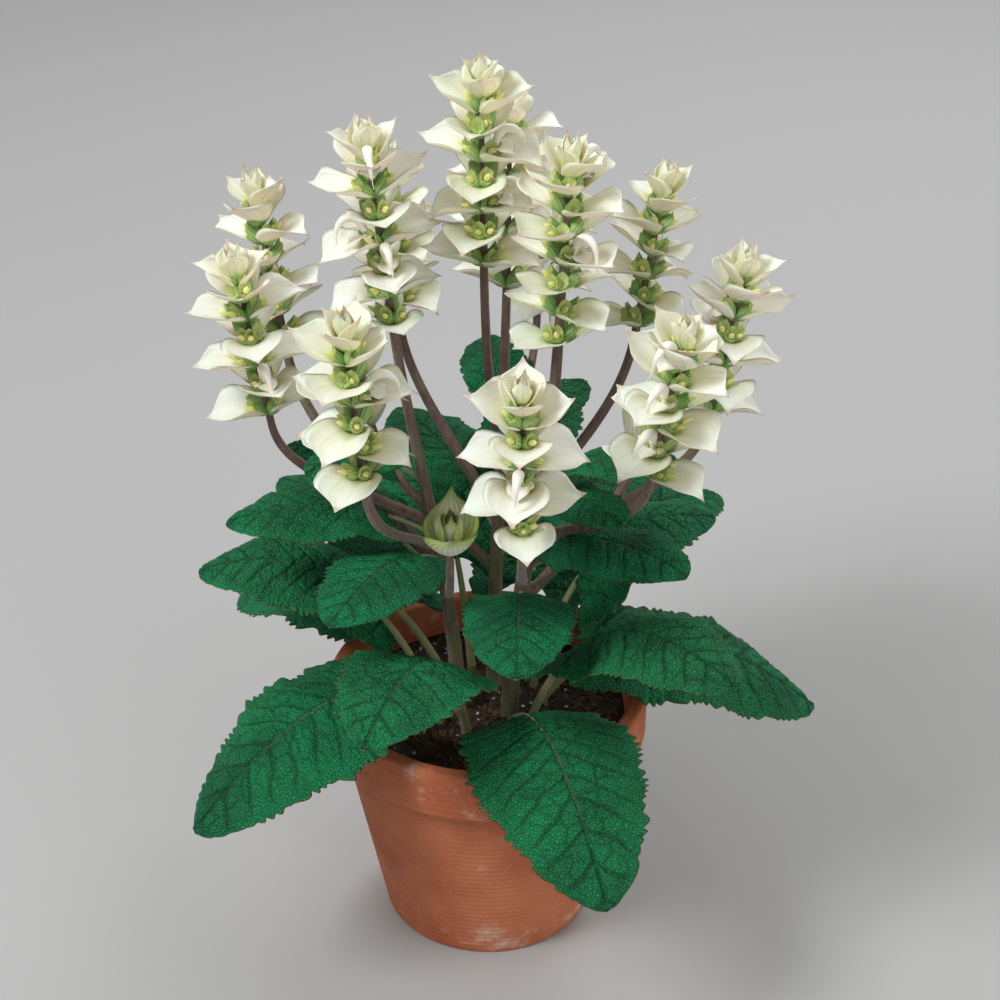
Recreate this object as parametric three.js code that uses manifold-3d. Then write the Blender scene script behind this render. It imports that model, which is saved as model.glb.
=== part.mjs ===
// A clary sage in flower in a plain clay pot, in millimetres, +Z up. The pot's axis is Z and its foot is on z = 0.
// Three square stems rise from the compost. Each carries a flower spike at its top, three more on side branches and
// a young closed shoot, with toothed leaves under the branches and a rosette of large leaves at the foot.

import * as THREE from "three";
import { mergeVertices } from "three/addons/utils/BufferGeometryUtils.js";
import Module from "manifold-3d";

const wasm = await Module();
wasm.setup();

// Pot and compost
const POT_HEIGHT = 185;
const POT_FOOT_RADIUS = 74;
const POT_RIM_RADIUS = 110;
const POT_WALL = 8;
const POT_FLOOR = 10;
const RIM_HEIGHT = 36;
const RIM_STEP = 8;
const RIM_BEVEL = 3;
const DRAIN_RADIUS = 8;
const DRAIN_HOLES = 3;
const DRAIN_STEPS = 12;
const COMPOST_TOP = 163;
const COMPOST_CROWN = 5;
const LUMP_HEIGHT = 1.6;
const ROUND_STEPS = 28;
const FINEST_EDGE = 0.05;
const REST_GAP = 0.3;
const HOLE_GAP = 0.6;

// Stems, in rings round the pot's axis
const STEM_COUNT = 3;
const FIRST_STEM_AZIMUTH = 90;
const STEM_ROOT_RADIUS = 20;
const ROOT_DEPTH = 22;
const MAIN_SPIKE_RADIUS = 62;
const MAIN_SPIKE_BASE = 452;
const SIDE_SPIKE_RADIUS = 134;
const SIDE_SPIKE_BASE = 398;
const SIDE_SPREAD = 40;
const BRANCH_SHARES = [0.4, 0.52, 0.46];
const SHOOT_SHARE = 0.34;
const CENTRE_SHARE = 0.58;
const LEAF_BELOW_BRANCH = 0.03;
const CENTRE_SPIKE_BASE = 488;
const SHOOT_RADIUS = 102;
const SHOOT_BASE = 346;
const MAIN_HALF_WIDTH = 5;
const BRANCH_HALF_WIDTH = 3.1;
const RACHIS_HALF_WIDTH = 2.3;
const RACHIS_TIP_HALF_WIDTH = 1.1;
const MAIN_STEPS = 8;
const BRANCH_STEPS = 6;

// Spikes: each list runs from the youngest pair of bracts, round the bud at the tip, down to the oldest
const BRACT_OPENING = [26, 42, 54, 60, 64, 66];
const BRACT_BEND = [-34, -22, -2, 16, 26, 34];
const BRACT_LENGTH = [24, 31, 37, 40, 40, 38];
const SHOOT_BEND = [-34, -40];
const SHOOT_SIZE = 1.35;
const PAIR_GAP = [5, 9, 13, 15, 16, 17, 17, 18];
const BRACT_WIDTH_SHARE = 0.86;
const BRACT_THICKNESS = 0.7;
const CUP_DEPTH = 0.38;
const FIRST_PAIR_HEIGHT = 7;
const MAIN_SPIKE_PAIRS = 9;
const SIDE_SPIKE_PAIRS = 8;
const FIRST_OPEN_AGE = 2;
const LAST_CALYX_AGE = 3;
const FLOWERING_SPIKES = [1, 3, 5, 6, 8, 10, 12];
const CALYX_LENGTH = 15;
const CALYX_RADIUS = 3.3;
const CALYX_SPREAD = 14;
const CALYX_LIFT = 20;
const BUD_LENGTH = 15;
const BUD_RADIUS = 3.2;

// Leaves
const BASAL_LEAVES = 10;
const BASAL_ROOT_RADIUS = 38;
const BASAL_START = 6;
const LEAF_THICKNESS = 0.9;
const BASAL_TEETH = 6;
const STEM_LEAF_TEETH = 4;
const UPPER_LEAF_SHARE = 0.66;
const UPPER_LEAF_SIZE = 0.68;
const UPPER_LEAF_TEETH = 3;
const TOOTH = 0.1;

const TERRACOTTA = { color: 0xb5623e, roughness: 0.85, metalness: 0 };
const COMPOST = { color: 0x33241a, roughness: 1, metalness: 0 };
const STEM = { color: 0x6b5148, roughness: 0.7, metalness: 0 };
const BRACT = { color: 0xf2efe2, roughness: 0.6, metalness: 0 };
const YOUNG_BRACT = { color: 0xcfdc9c, roughness: 0.6, metalness: 0 };
const LEAF = { color: 0x1f6f49, roughness: 0.75, metalness: 0 };

const DEGREE = Math.PI / 180;
const UP = new THREE.Vector3(0, 0, 1);

// A repeatable number from 0 to 1 for each seed, and one from -spread to spread
function chance(seed) {
  const wave = Math.sin(seed * 12.9898) * 43758.5453;
  return wave - Math.floor(wave);
}
const vary = (seed, spread) => (2 * chance(seed) - 1) * spread;

const radial = (azimuth, radius = 1, height = 0) =>
  new THREE.Vector3(radius * Math.cos(azimuth * DEGREE), radius * Math.sin(azimuth * DEGREE), height);

// The horizontal direction to the right of one who looks out along an azimuth
const rightOf = (azimuth) => radial(azimuth - 90);

function geometryOf(points, faces) {
  const geometry = new THREE.BufferGeometry();
  geometry.setAttribute(
    "position",
    new THREE.Float32BufferAttribute(
      points.flatMap((point) => point.toArray()),
      3,
    ),
  );
  geometry.setIndex(faces.flat());
  return geometry;
}

function solidOf(geometry) {
  geometry.deleteAttribute("normal");
  geometry.deleteAttribute("uv");
  const merged = mergeVertices(geometry);
  return new wasm.Manifold(
    new wasm.Mesh({
      numProp: 3,
      vertProperties: merged.attributes.position.array,
      triVerts: new Uint32Array(merged.index.array),
    }),
  );
}

function geometryOfSolid(solid) {
  const mesh = solid.getMesh();
  const positions = [];
  for (let i = 0; i < mesh.numVert; i++) {
    positions.push(...mesh.vertProperties.subarray(i * mesh.numProp, i * mesh.numProp + 3));
  }
  const geometry = new THREE.BufferGeometry();
  geometry.setAttribute("position", new THREE.Float32BufferAttribute(positions, 3));
  geometry.setIndex([...mesh.triVerts]);
  geometry.computeVertexNormals();
  return geometry;
}

// The biggest of a solid's separate shells, which leaves out any bubble shut inside it
const largestOf = (solid) => solid.decompose().sort((a, b) => b.volume() - a.volume())[0];
const fuse = (solids) => largestOf(solids.reduce((all, next) => all.add(next)).simplify(FINEST_EDGE));

function named(name, solid, finish) {
  const mesh = new THREE.Mesh(geometryOfSolid(solid), new THREE.MeshStandardMaterial(finish));
  mesh.name = name;
  return mesh;
}

// A square stem along a curve that lies in one plane: across is that plane's normal, and each point of the curve has
// its own half width. The far end is cut square to aim, where it is given.
function squareStem(curve, across, halfWidths, aim) {
  const corners = [
    [1, 1],
    [-1, 1],
    [-1, -1],
    [1, -1],
  ];
  const points = [];
  const faces = [];
  const last = curve.length - 1;
  curve.forEach((point, i) => {
    const chord = curve[Math.min(i + 1, last)].clone().sub(curve[Math.max(i - 1, 0)]).normalize();
    const other = new THREE.Vector3().crossVectors(aim && i === last ? aim : chord, across);
    for (const [a, b] of corners) {
      points.push(
        point
          .clone()
          .addScaledVector(across, a * halfWidths[i])
          .addScaledVector(other, b * halfWidths[i]),
      );
    }
    for (let j = 0; i < last && j < 4; j++) {
      const [a, b] = [4 * i + j, 4 * i + ((j + 1) % 4)];
      faces.push([a, b, b + 4], [a, b + 4, a + 4]);
    }
  });
  const top = 4 * last;
  faces.push([0, 3, 2], [0, 2, 1], [top, top + 1, top + 2], [top, top + 2, top + 3]);
  return geometryOf(points, faces);
}

// A calyx or bud: a four-sided spindle from root to tip, widest past its middle
function spindle(root, tip, radius, across) {
  const other = tip.clone().sub(root).cross(across).normalize();
  const waist = root.clone().lerp(tip, 0.58);
  const ring = [across, other, across.clone().negate(), other.clone().negate()].map((side) =>
    waist.clone().addScaledVector(side, radius),
  );
  const faces = [];
  for (let j = 0; j < 4; j++) {
    const [a, b] = [2 + j, 2 + ((j + 1) % 4)];
    faces.push([0, b, a], [1, a, b]);
  }
  return geometryOf([root, tip, ...ring], faces);
}

// A leaf-like blade of even thickness. rows run from root to tip, and each holds the row's height up the blade and
// its places across from -1, the left edge, to 1. face(v, s) gives a point of the upper side and the way that side
// looks. A last row of one place is a sharp tip. tooth, where it is given, is the share by which a point stands out
// of the edge between each two rows.
function blade(rows, face, thickness, tooth = 0) {
  const points = [];
  const faces = [];
  const place = (v, s, sharp) => {
    const { point, out } = face(v, s);
    points.push(point);
    if (sharp) return { top: points.length - 1, under: points.length - 1 };
    points.push(point.clone().addScaledVector(out, -thickness));
    return { top: points.length - 2, under: points.length - 1 };
  };
  const cover = (a, b, c) => {
    faces.push([a.top, b.top, c.top], [a.under, c.under, b.under]);
  };
  const grid = rows.map(({ v, across }) => across.map((s) => place(v, s, across.length === 1)));
  const [right, left] = [[], []];
  grid.forEach((row, i) => {
    right.push(row[row.length - 1]);
    left.unshift(row[0]);
    const next = grid[i + 1];
    if (!next) return;
    let [a, b] = [0, 0];
    while (a < row.length - 1 || b < next.length - 1) {
      const stepA = (a + 1) / Math.max(row.length - 1, 1e-9);
      const stepB = (b + 1) / Math.max(next.length - 1, 1e-9);
      if (stepA <= stepB) cover(row[a], row[++a], next[b]);
      else cover(row[a], next[b + 1], next[b++]);
    }
    if (tooth && next.length > 1) {
      const middle = (rows[i].v + rows[i + 1].v) / 2;
      const [outer, inner] = [place(middle, 1 + tooth), place(middle, -1 - tooth)];
      cover(right[right.length - 1], outer, next[next.length - 1]);
      cover(next[0], inner, row[0]);
      right.push(outer);
      left.unshift(inner);
    }
  });
  const outline = [...grid[0].slice(0, -1), ...right, ...left.slice(1, -1)];
  outline.forEach((p, i) => {
    const q = outline[(i + 1) % outline.length];
    if (q.top !== q.under) faces.push([p.under, q.under, q.top]);
    if (p.top !== p.under) faces.push([p.under, q.top, p.top]);
  });
  return geometryOf(points, faces);
}

// Half the width of a bract and of a leaf, as a share of the widest, from root (0) to tip (1)
const bractOutline = (v) => (Math.sqrt(v) * (1 - v * v) ** 1.1) / 0.524;
const leafOutline = (v) => ((v + 0.06) ** 0.45 * (1 - v) ** 0.6) / 0.518;

// A bract in its own frame: it grows from the rachis at the origin out along +Y, and bends in an arc. opening is its
// angle from the rachis at the root and bend how far it has turned at the tip.
function bractFace({ length, opening, bend, root = 1.2 }) {
  const half = (length * BRACT_WIDTH_SHARE) / 2;
  const turn = Math.abs(bend) < 1 ? 1 : bend;
  return (v, s) => {
    const [start, now] = [opening * DEGREE, (opening + turn * v) * DEGREE];
    const reach = length / (turn * DEGREE);
    const out = new THREE.Vector3(0, -Math.cos(now), Math.sin(now));
    const point = new THREE.Vector3(
      s * half * bractOutline(v),
      root + reach * (Math.cos(start) - Math.cos(now)),
      reach * (Math.sin(now) - Math.sin(start)),
    );
    const cup = CUP_DEPTH * half * s * s * 4 * v * (1 - v);
    return { point: point.addScaledVector(out, cup), out };
  };
}

const BRACT_ROWS = [
  { v: 0.012, across: [-1, 1] },
  { v: 0.4, across: [-1, 0, 1] },
  { v: 0.78, across: [-1, 1] },
  { v: 1, across: [0] },
];
const BUD_BRACT_ROWS = [
  { v: 0.03, across: [-1, 1] },
  { v: 0.42, across: [-1, 0, 1] },
  { v: 1, across: [0] },
];

// An open flower in the bract's frame: a hood that arches up and out of its calyx, and a lip below it
const HOOD = [
  [3, 3],
  [9, 12],
  [15, 19],
  [23, 18],
  [27, 12],
];
const HOOD_HALF_WIDTHS = [1.1, 1.6, 2.2, 1.8, 0.7];
const LIP = { length: 13, opening: 82, bend: 30, root: 7 };
const LIP_HEIGHT = 8;

function flowerGeometries() {
  const hood = squareStem(
    HOOD.map(([y, z]) => new THREE.Vector3(0, y, z)),
    new THREE.Vector3(1, 0, 0),
    HOOD_HALF_WIDTHS,
  );
  const lip = blade(BUD_BRACT_ROWS, bractFace(LIP), BRACT_THICKNESS);
  lip.translate(0, 0, LIP_HEIGHT);
  lip.scale(0.9, 1, 1);
  return [hood, lip];
}

const byAge = (list, age) => list[Math.min(age, list.length - 1)];

// A spike in its own frame: the rachis stands on the origin along +Z with a pair of bracts at each joint, each pair
// at right angles to the next. Every other open bract of the younger joints holds a calyx, and flowers gives the
// joints that are in flower.
function spikeSolid({ pairs, seed, size = 1, flowers = [], bends = BRACT_BEND }) {
  const heights = [];
  let height = FIRST_PAIR_HEIGHT;
  for (let age = pairs - 1; age >= 0; age--) {
    heights[age] = height;
    height += age > 0 ? byAge(PAIR_GAP, age - 1) * size : 0;
  }
  const rachis = [new THREE.Vector3(0, 0, 0), new THREE.Vector3(0, 0, heights[0] + 2)];
  const widths = [RACHIS_HALF_WIDTH, RACHIS_TIP_HALF_WIDTH];
  const east = new THREE.Vector3(1, 0, 0);
  const budRoot = new THREE.Vector3(0, 0, heights[0]);
  const budTip = new THREE.Vector3(0.5, 0.4, heights[0] + BUD_LENGTH);
  const solids = [
    solidOf(squareStem(rachis, east, widths)),
    solidOf(spindle(budRoot, budTip, BUD_RADIUS * size, new THREE.Vector3(Math.SQRT1_2, Math.SQRT1_2, 0))),
  ];
  for (let age = 0; age < pairs; age++) {
    for (const side of [0, 1]) {
      const own = seed + 10 * age + side;
      const azimuth = 90 * (age % 2) + 180 * side + vary(own, 7);
      const opening = byAge(BRACT_OPENING, age) + vary(own + 0.3, age < 1 ? 2 : 6);
      const shape = {
        length: byAge(BRACT_LENGTH, age) * size * (1 + vary(own + 0.6, 0.07)),
        opening,
        bend: byAge(bends, age) + vary(own + 0.9, age < 1 ? 3 : 12),
      };
      const parts = [blade(age < 1 ? BUD_BRACT_ROWS : BRACT_ROWS, bractFace(shape), BRACT_THICKNESS)];
      const bearsCalyx = (age + side) % 2 === 1 && age >= FIRST_OPEN_AGE && age <= LAST_CALYX_AGE;
      if (bearsCalyx) parts.push(calyxGeometry(opening, 1, own));
      if (flowers.some(([joint, way]) => joint === age && way === side)) parts.push(...flowerGeometries());
      for (const geometry of parts) {
        geometry.rotateZ((azimuth - 90) * DEGREE);
        geometry.translate(0, 0, heights[age]);
        solids.push(solidOf(geometry));
      }
    }
  }
  return fuse(solids);
}

// A calyx in the bract's frame, turned to one side and lifted off the bract
function calyxGeometry(opening, way, seed) {
  const lean = (opening - CALYX_LIFT + vary(seed + 0.15 * way, 3)) * DEGREE;
  const turn = way * CALYX_SPREAD + vary(seed + 0.25 * way, 3);
  const root = new THREE.Vector3(0.45 * way, 0.5, 0.5 + vary(seed + 0.35 * way, 0.4));
  const tip = new THREE.Vector3(0, Math.sin(lean), Math.cos(lean)).multiplyScalar(CALYX_LENGTH).add(root);
  const geometry = spindle(root, tip, CALYX_RADIUS, new THREE.Vector3(1, 0, 0));
  return geometry.rotateZ(turn * DEGREE);
}

// Where each stem, branch, spike and shoot goes
function mainAxis(stem) {
  const azimuth = FIRST_STEM_AZIMUTH + (360 / STEM_COUNT) * stem;
  const lean = 5 + vary(stem + 1.1, 2);
  const top = radial(azimuth, MAIN_SPIKE_RADIUS + vary(stem + 1.4, 6), MAIN_SPIKE_BASE + vary(stem + 1.7, 14));
  const root = radial(azimuth, STEM_ROOT_RADIUS, COMPOST_TOP - ROOT_DEPTH);
  const rise = top.z - root.z;
  const aim = radial(azimuth, Math.sin(lean * DEGREE), Math.cos(lean * DEGREE));
  const curve = new THREE.CubicBezierCurve3(
    root,
    root.clone().addScaledVector(UP, rise * 0.4),
    top.clone().addScaledVector(aim, -rise * 0.3),
    top,
  );
  return { azimuth, curve, top, aim };
}

// A side branch from share of the way up a main axis to a spike's foot. It stays in one upright plane.
function branchFrom(axis, share, top, lean) {
  const start = axis.curve.getPoint(share);
  const azimuth = Math.atan2(top.y - start.y, top.x - start.x) / DEGREE;
  const aim = radial(azimuth, Math.sin(lean * DEGREE), Math.cos(lean * DEGREE));
  const span = Math.hypot(top.x - start.x, top.y - start.y);
  const rise = top.z - start.z;
  const curve = new THREE.CubicBezierCurve3(
    start,
    start.clone().add(radial(azimuth, span * 0.5, rise * 0.4)),
    top.clone().addScaledVector(aim, -rise * 0.42),
    top,
  );
  return { azimuth, curve, top, aim };
}

function branchesOf(axis, stem) {
  const branches = [-1, 0, 1].map((side, i) => {
    const own = 10 * stem + i;
    const azimuth = axis.azimuth + side * SIDE_SPREAD + vary(own + 2.1, 4);
    const top = radial(azimuth, SIDE_SPIKE_RADIUS + vary(own + 2.4, 7), SIDE_SPIKE_BASE + vary(own + 2.7, 20));
    return { kind: "side", ...branchFrom(axis, BRANCH_SHARES[i], top, 9 + vary(own + 2.9, 4)) };
  });
  const shoot = radial(axis.azimuth + 60, SHOOT_RADIUS, SHOOT_BASE + vary(stem + 3.1, 10));
  branches.push({ kind: "shoot", ...branchFrom(axis, SHOOT_SHARE, shoot, 14) });
  if (stem === 0) {
    const top = radial(axis.azimuth + 180, 4, CENTRE_SPIKE_BASE);
    branches.push({ kind: "centre", ...branchFrom(axis, CENTRE_SHARE, top, 3) });
  }
  return branches;
}

// A stem's solid with its branches. grow makes it fatter all round, for cutting what stands against it.
function stemSolid(axis, branches, grow = 0) {
  const main = taperedStem(axis, MAIN_STEPS, MAIN_HALF_WIDTH, RACHIS_HALF_WIDTH + 0.3, grow);
  const rest = branches.map((branch) =>
    taperedStem(branch, BRANCH_STEPS, BRANCH_HALF_WIDTH, RACHIS_HALF_WIDTH + 0.1, grow),
  );
  return fuse([main, ...rest]);
}

function taperedStem({ curve, azimuth, aim }, steps, thick, thin, grow) {
  const points = curve.getPoints(steps);
  const widths = points.map((_, i) => thick + (thin - thick) * (i / steps) + grow);
  return solidOf(squareStem(points, rightOf(azimuth), widths, aim));
}

// A leaf on a stalk: its midrib is a curve in the upright plane at azimuth through origin, and the blade takes up the
// part of that curve past bladeStart. droop lowers the edges, and ripple waves them.
function leafFace({ origin, azimuth, path, bladeStart, width, droop, ripple, phase }) {
  const across = rightOf(azimuth);
  const [start, middle, end] = path.map(([out, up]) => origin.clone().add(radial(azimuth, out, up)));
  const midrib = new THREE.QuadraticBezierCurve3(start, middle, end);
  return (v, s) => {
    const t = bladeStart + (1 - bladeStart) * v;
    const out = new THREE.Vector3().crossVectors(across, midrib.getTangent(t));
    const lift = -droop * s * s * 4 * (v + 0.1) * (1.1 - v) * 0.7;
    const wave = ripple * s * s * Math.sin(4 * Math.PI * v + phase + (s > 0 ? 1.5 : 0)) * (1 - v);
    const point = midrib
      .getPoint(t)
      .addScaledVector(across, (s * width * leafOutline(v)) / 2)
      .addScaledVector(out, lift + wave);
    return { point, out };
  };
}

function leafSolid(leaf, teeth) {
  const rows = [];
  for (let i = 0; i < teeth; i++) rows.push({ v: i / teeth, across: [-1, 0, 1] });
  rows.push({ v: 1, across: [0] });
  const lamina = blade(rows, leafFace(leaf), LEAF_THICKNESS, TOOTH);
  const [start, middle, end] = leaf.path.map(([out, up]) => leaf.origin.clone().add(radial(leaf.azimuth, out, up)));
  const midrib = new THREE.QuadraticBezierCurve3(start, middle, end);
  const stalk = [0, 1, 2, 3].map((i) => {
    const t = (i / 3) * (leaf.bladeStart + 0.12);
    return midrib.getPoint(t).addScaledVector(UP, i === 3 ? -1.6 : -0.8);
  });
  if (leaf.rooted) stalk.unshift(stalk[0].clone().setZ(COMPOST_TOP - ROOT_DEPTH));
  const widths = stalk.map((_, i) => leaf.stalkHalfWidth * (i === stalk.length - 1 ? 0.45 : 1));
  return fuse([solidOf(squareStem(stalk, rightOf(leaf.azimuth), widths)), solidOf(lamina)]);
}

// The rosette: leaves by turns low, over the rim, and higher
function basalLeaf(i) {
  const low = i % 2 === 0;
  const [reach, drop] = [vary(i + 4.2, 10), vary(i + 4.4, 8)];
  return {
    origin: new THREE.Vector3(0, 0, COMPOST_TOP + BASAL_START),
    azimuth: 12 + (360 / BASAL_LEAVES) * i + vary(i + 4.1, 4),
    path: low
      ? [
          [BASAL_ROOT_RADIUS, 0],
          [106, 104],
          [232 + reach, -6 + drop],
        ]
      : [
          [BASAL_ROOT_RADIUS, 0],
          [84, 146],
          [196 + reach, 98 + drop],
        ],
    bladeStart: 0.3,
    width: low ? 104 : 86,
    droop: low ? 12 : 7,
    ripple: 6,
    phase: 2 * i,
    stalkHalfWidth: 3.2,
    rooted: true,
  };
}

// A leaf on a stem, at a share of the way up its axis. size is 1 for one under a low branch.
function stemLeaf(axis, share, azimuth, size, seed) {
  return {
    origin: axis.curve.getPoint(share),
    azimuth: azimuth + vary(seed + 0.5, 5),
    path: [
      [0, 0],
      [52 * size, 46 * size],
      [(128 + vary(seed, 8)) * size, (32 + vary(seed + 0.7, 10)) * size],
    ],
    bladeStart: 0.28,
    width: 66 * size,
    droop: 6 * size,
    ripple: 4 * size,
    phase: 3 * seed,
    stalkHalfWidth: 1.9,
    rooted: false,
  };
}

// The pot is turned round its axis, with drain holes round the middle of its floor
function potSolid() {
  const under = POT_HEIGHT - RIM_HEIGHT;
  const profile = [
    [0, 0],
    [POT_FOOT_RADIUS, 0],
    [POT_RIM_RADIUS - RIM_STEP, under],
    [POT_RIM_RADIUS, under],
    [POT_RIM_RADIUS, POT_HEIGHT - RIM_BEVEL],
    [POT_RIM_RADIUS - RIM_BEVEL, POT_HEIGHT],
    [POT_RIM_RADIUS - RIM_STEP - 2, POT_HEIGHT],
    [POT_FOOT_RADIUS - POT_WALL, POT_FLOOR],
    [0, POT_FLOOR],
  ];
  let pot = solidOf(turned(profile));
  for (let i = 0; i < DRAIN_HOLES; i++) {
    const drill = new THREE.CylinderGeometry(DRAIN_RADIUS, DRAIN_RADIUS, 3 * POT_FLOOR, DRAIN_STEPS);
    drill.rotateX(Math.PI / 2).translate(POT_FOOT_RADIUS / 2, 0, POT_FLOOR / 2);
    pot = pot.subtract(solidOf(drill.rotateZ((2 * Math.PI * i) / DRAIN_HOLES)));
  }
  return pot;
}

function turned(profile) {
  const outline = profile.map(([radius, height]) => new THREE.Vector2(radius, height));
  return new THREE.LatheGeometry(outline, ROUND_STEPS).rotateX(Math.PI / 2);
}

// The pot's inner radius at a height, less the gap to what fills it
function fillRadius(height) {
  const inner = POT_RIM_RADIUS - RIM_STEP - 2;
  const foot = POT_FOOT_RADIUS - POT_WALL;
  return foot + ((inner - foot) * (height - POT_FLOOR)) / (POT_HEIGHT - POT_FLOOR) - REST_GAP;
}

// The compost has a low crown and small lumps, and a plain hole for each stem and leaf stalk
function compostSolid(roots) {
  const edge = fillRadius(COMPOST_TOP - 3);
  const profile = [
    [0, POT_FLOOR + REST_GAP],
    [fillRadius(POT_FLOOR + REST_GAP), POT_FLOOR + REST_GAP],
    [edge, COMPOST_TOP - 3],
    [edge * 0.8, COMPOST_TOP - COMPOST_CROWN / 2],
    [edge * 0.5, COMPOST_TOP - 1],
    [0, COMPOST_TOP],
  ];
  const lathe = turned(profile);
  const places = lathe.attributes.position;
  for (let i = 0; i < places.count; i++) {
    const [x, y, z] = [places.getX(i), places.getY(i), places.getZ(i)];
    const inside = Math.hypot(x, y) < edge - 1 && z > COMPOST_TOP - 2 * COMPOST_CROWN;
    if (inside) places.setZ(i, z + LUMP_HEIGHT * Math.sin(x * 0.19 + 1) * Math.cos(y * 0.23));
  }
  const holes = roots.map(({ point, azimuth, halfWidth }) => {
    const low = point.clone().setZ(COMPOST_TOP - ROOT_DEPTH - REST_GAP);
    const high = point.clone().setZ(COMPOST_TOP + 2 * COMPOST_CROWN);
    const width = halfWidth + HOLE_GAP;
    return solidOf(squareStem([low, high], rightOf(azimuth), [width, width]));
  });
  return largestOf(holes.reduce((left, hole) => left.subtract(hole), solidOf(lathe)));
}

// Stands a spike on the end of its stem, with a narrow joint between them
function stand(mesh, { top, aim, azimuth }) {
  const across = rightOf(azimuth);
  const along = new THREE.Vector3().crossVectors(aim, across);
  mesh.quaternion.setFromRotationMatrix(new THREE.Matrix4().makeBasis(across, along, aim));
  mesh.position.copy(top).addScaledVector(aim, REST_GAP);
  return mesh;
}

const potted = new THREE.Group();
potted.name = "potted_clary_sage";
potted.add(named("pot", potSolid(), TERRACOTTA));

const roots = [];
let spikes = 0;
let stemLeaves = 0;
for (let stem = 0; stem < STEM_COUNT; stem++) {
  const axis = mainAxis(stem);
  const branches = branchesOf(axis, stem);
  const group = new THREE.Group();
  group.add(named(`stem_${stem + 1}`, stemSolid(axis, branches), STEM));
  roots.push({ point: axis.curve.getPoint(0), azimuth: axis.azimuth, halfWidth: MAIN_HALF_WIDTH });

  for (const end of [{ kind: "main", ...axis }, ...branches]) {
    if (end.kind === "shoot") {
      const shoot = spikeSolid({ pairs: 2, seed: 900 + stem, size: SHOOT_SIZE, bends: SHOOT_BEND });
      group.add(stand(named(`young_shoot_${stem + 1}`, shoot, YOUNG_BRACT), end));
      continue;
    }
    spikes += 1;
    const seed = 100 * spikes;
    const openJoint = [FIRST_OPEN_AGE + (spikes % 2), Math.round(chance(seed))];
    const flowers = FLOWERING_SPIKES.includes(spikes) ? [openJoint] : [];
    const pairs = end.kind === "side" ? SIDE_SPIKE_PAIRS : MAIN_SPIKE_PAIRS;
    const name = `spike_${String(spikes).padStart(2, "0")}`;
    group.add(stand(named(name, spikeSolid({ pairs, seed, flowers }), BRACT), end));
  }

  // A large leaf under each side branch and a smaller one in each gap between them, cut clear of the stem
  const clear = stemSolid(axis, branches, REST_GAP);
  const sides = branches.filter((branch) => branch.kind === "side");
  const places = [
    ...sides.map(({ azimuth }, i) => [BRANCH_SHARES[i] - LEAF_BELOW_BRANCH, azimuth, 1, STEM_LEAF_TEETH]),
    ...[-1, 1].map((way) => [
      UPPER_LEAF_SHARE + 0.03 * way,
      axis.azimuth + (way * SIDE_SPREAD) / 2,
      UPPER_LEAF_SIZE,
      UPPER_LEAF_TEETH,
    ]),
  ];
  for (const [share, azimuth, leafSize, teeth] of places) {
    stemLeaves += 1;
    const leaf = stemLeaf(axis, share, azimuth, leafSize, 30 + stemLeaves);
    const solid = largestOf(leafSolid(leaf, teeth).subtract(clear));
    group.add(named(`stem_leaf_${String(stemLeaves).padStart(2, "0")}`, solid, LEAF));
  }
  potted.add(group);
}

for (let i = 0; i < BASAL_LEAVES; i++) {
  const leaf = basalLeaf(i);
  roots.push({ point: radial(leaf.azimuth, BASAL_ROOT_RADIUS), azimuth: leaf.azimuth, halfWidth: leaf.stalkHalfWidth });
  potted.add(named(`basal_leaf_${String(i + 1).padStart(2, "0")}`, leafSolid(leaf, BASAL_TEETH), LEAF));
}
potted.add(named("compost", compostSolid(roots), COMPOST));

export default potted;
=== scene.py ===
"""A potted clary sage in flower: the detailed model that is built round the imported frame.

Lengths in the growth rules are in millimetres, as in the part's source, and become metres where a mesh is made.
Each kind of piece (bracts, calyces, leaves, stalks) is one Geometry Nodes tree, run on bare points that carry
the sizes of each one.
"""

import math

import bmesh
import bpy
from mathutils import Matrix, Vector


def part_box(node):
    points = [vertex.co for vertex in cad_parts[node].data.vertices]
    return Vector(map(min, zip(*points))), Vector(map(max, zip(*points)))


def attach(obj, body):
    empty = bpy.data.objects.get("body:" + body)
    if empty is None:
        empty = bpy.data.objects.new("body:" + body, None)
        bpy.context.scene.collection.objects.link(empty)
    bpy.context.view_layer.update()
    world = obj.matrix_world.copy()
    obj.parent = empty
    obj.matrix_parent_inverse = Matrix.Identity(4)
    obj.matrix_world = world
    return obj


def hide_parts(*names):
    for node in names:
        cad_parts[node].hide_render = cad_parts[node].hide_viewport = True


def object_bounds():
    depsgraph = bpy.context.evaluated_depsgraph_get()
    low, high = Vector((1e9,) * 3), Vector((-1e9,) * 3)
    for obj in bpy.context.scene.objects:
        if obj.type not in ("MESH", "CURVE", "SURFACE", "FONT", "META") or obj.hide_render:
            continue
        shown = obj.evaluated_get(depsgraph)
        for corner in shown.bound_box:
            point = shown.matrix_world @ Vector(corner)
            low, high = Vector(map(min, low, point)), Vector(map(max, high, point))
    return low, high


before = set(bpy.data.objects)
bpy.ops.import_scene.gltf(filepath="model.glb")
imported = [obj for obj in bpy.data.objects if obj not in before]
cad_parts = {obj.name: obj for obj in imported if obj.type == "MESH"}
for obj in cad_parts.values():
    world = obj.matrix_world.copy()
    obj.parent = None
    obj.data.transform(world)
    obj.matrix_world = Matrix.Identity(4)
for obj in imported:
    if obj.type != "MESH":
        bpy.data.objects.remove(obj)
CAD_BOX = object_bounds()

MM = 0.001
UP = Vector((0, 0, 1))

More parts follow.
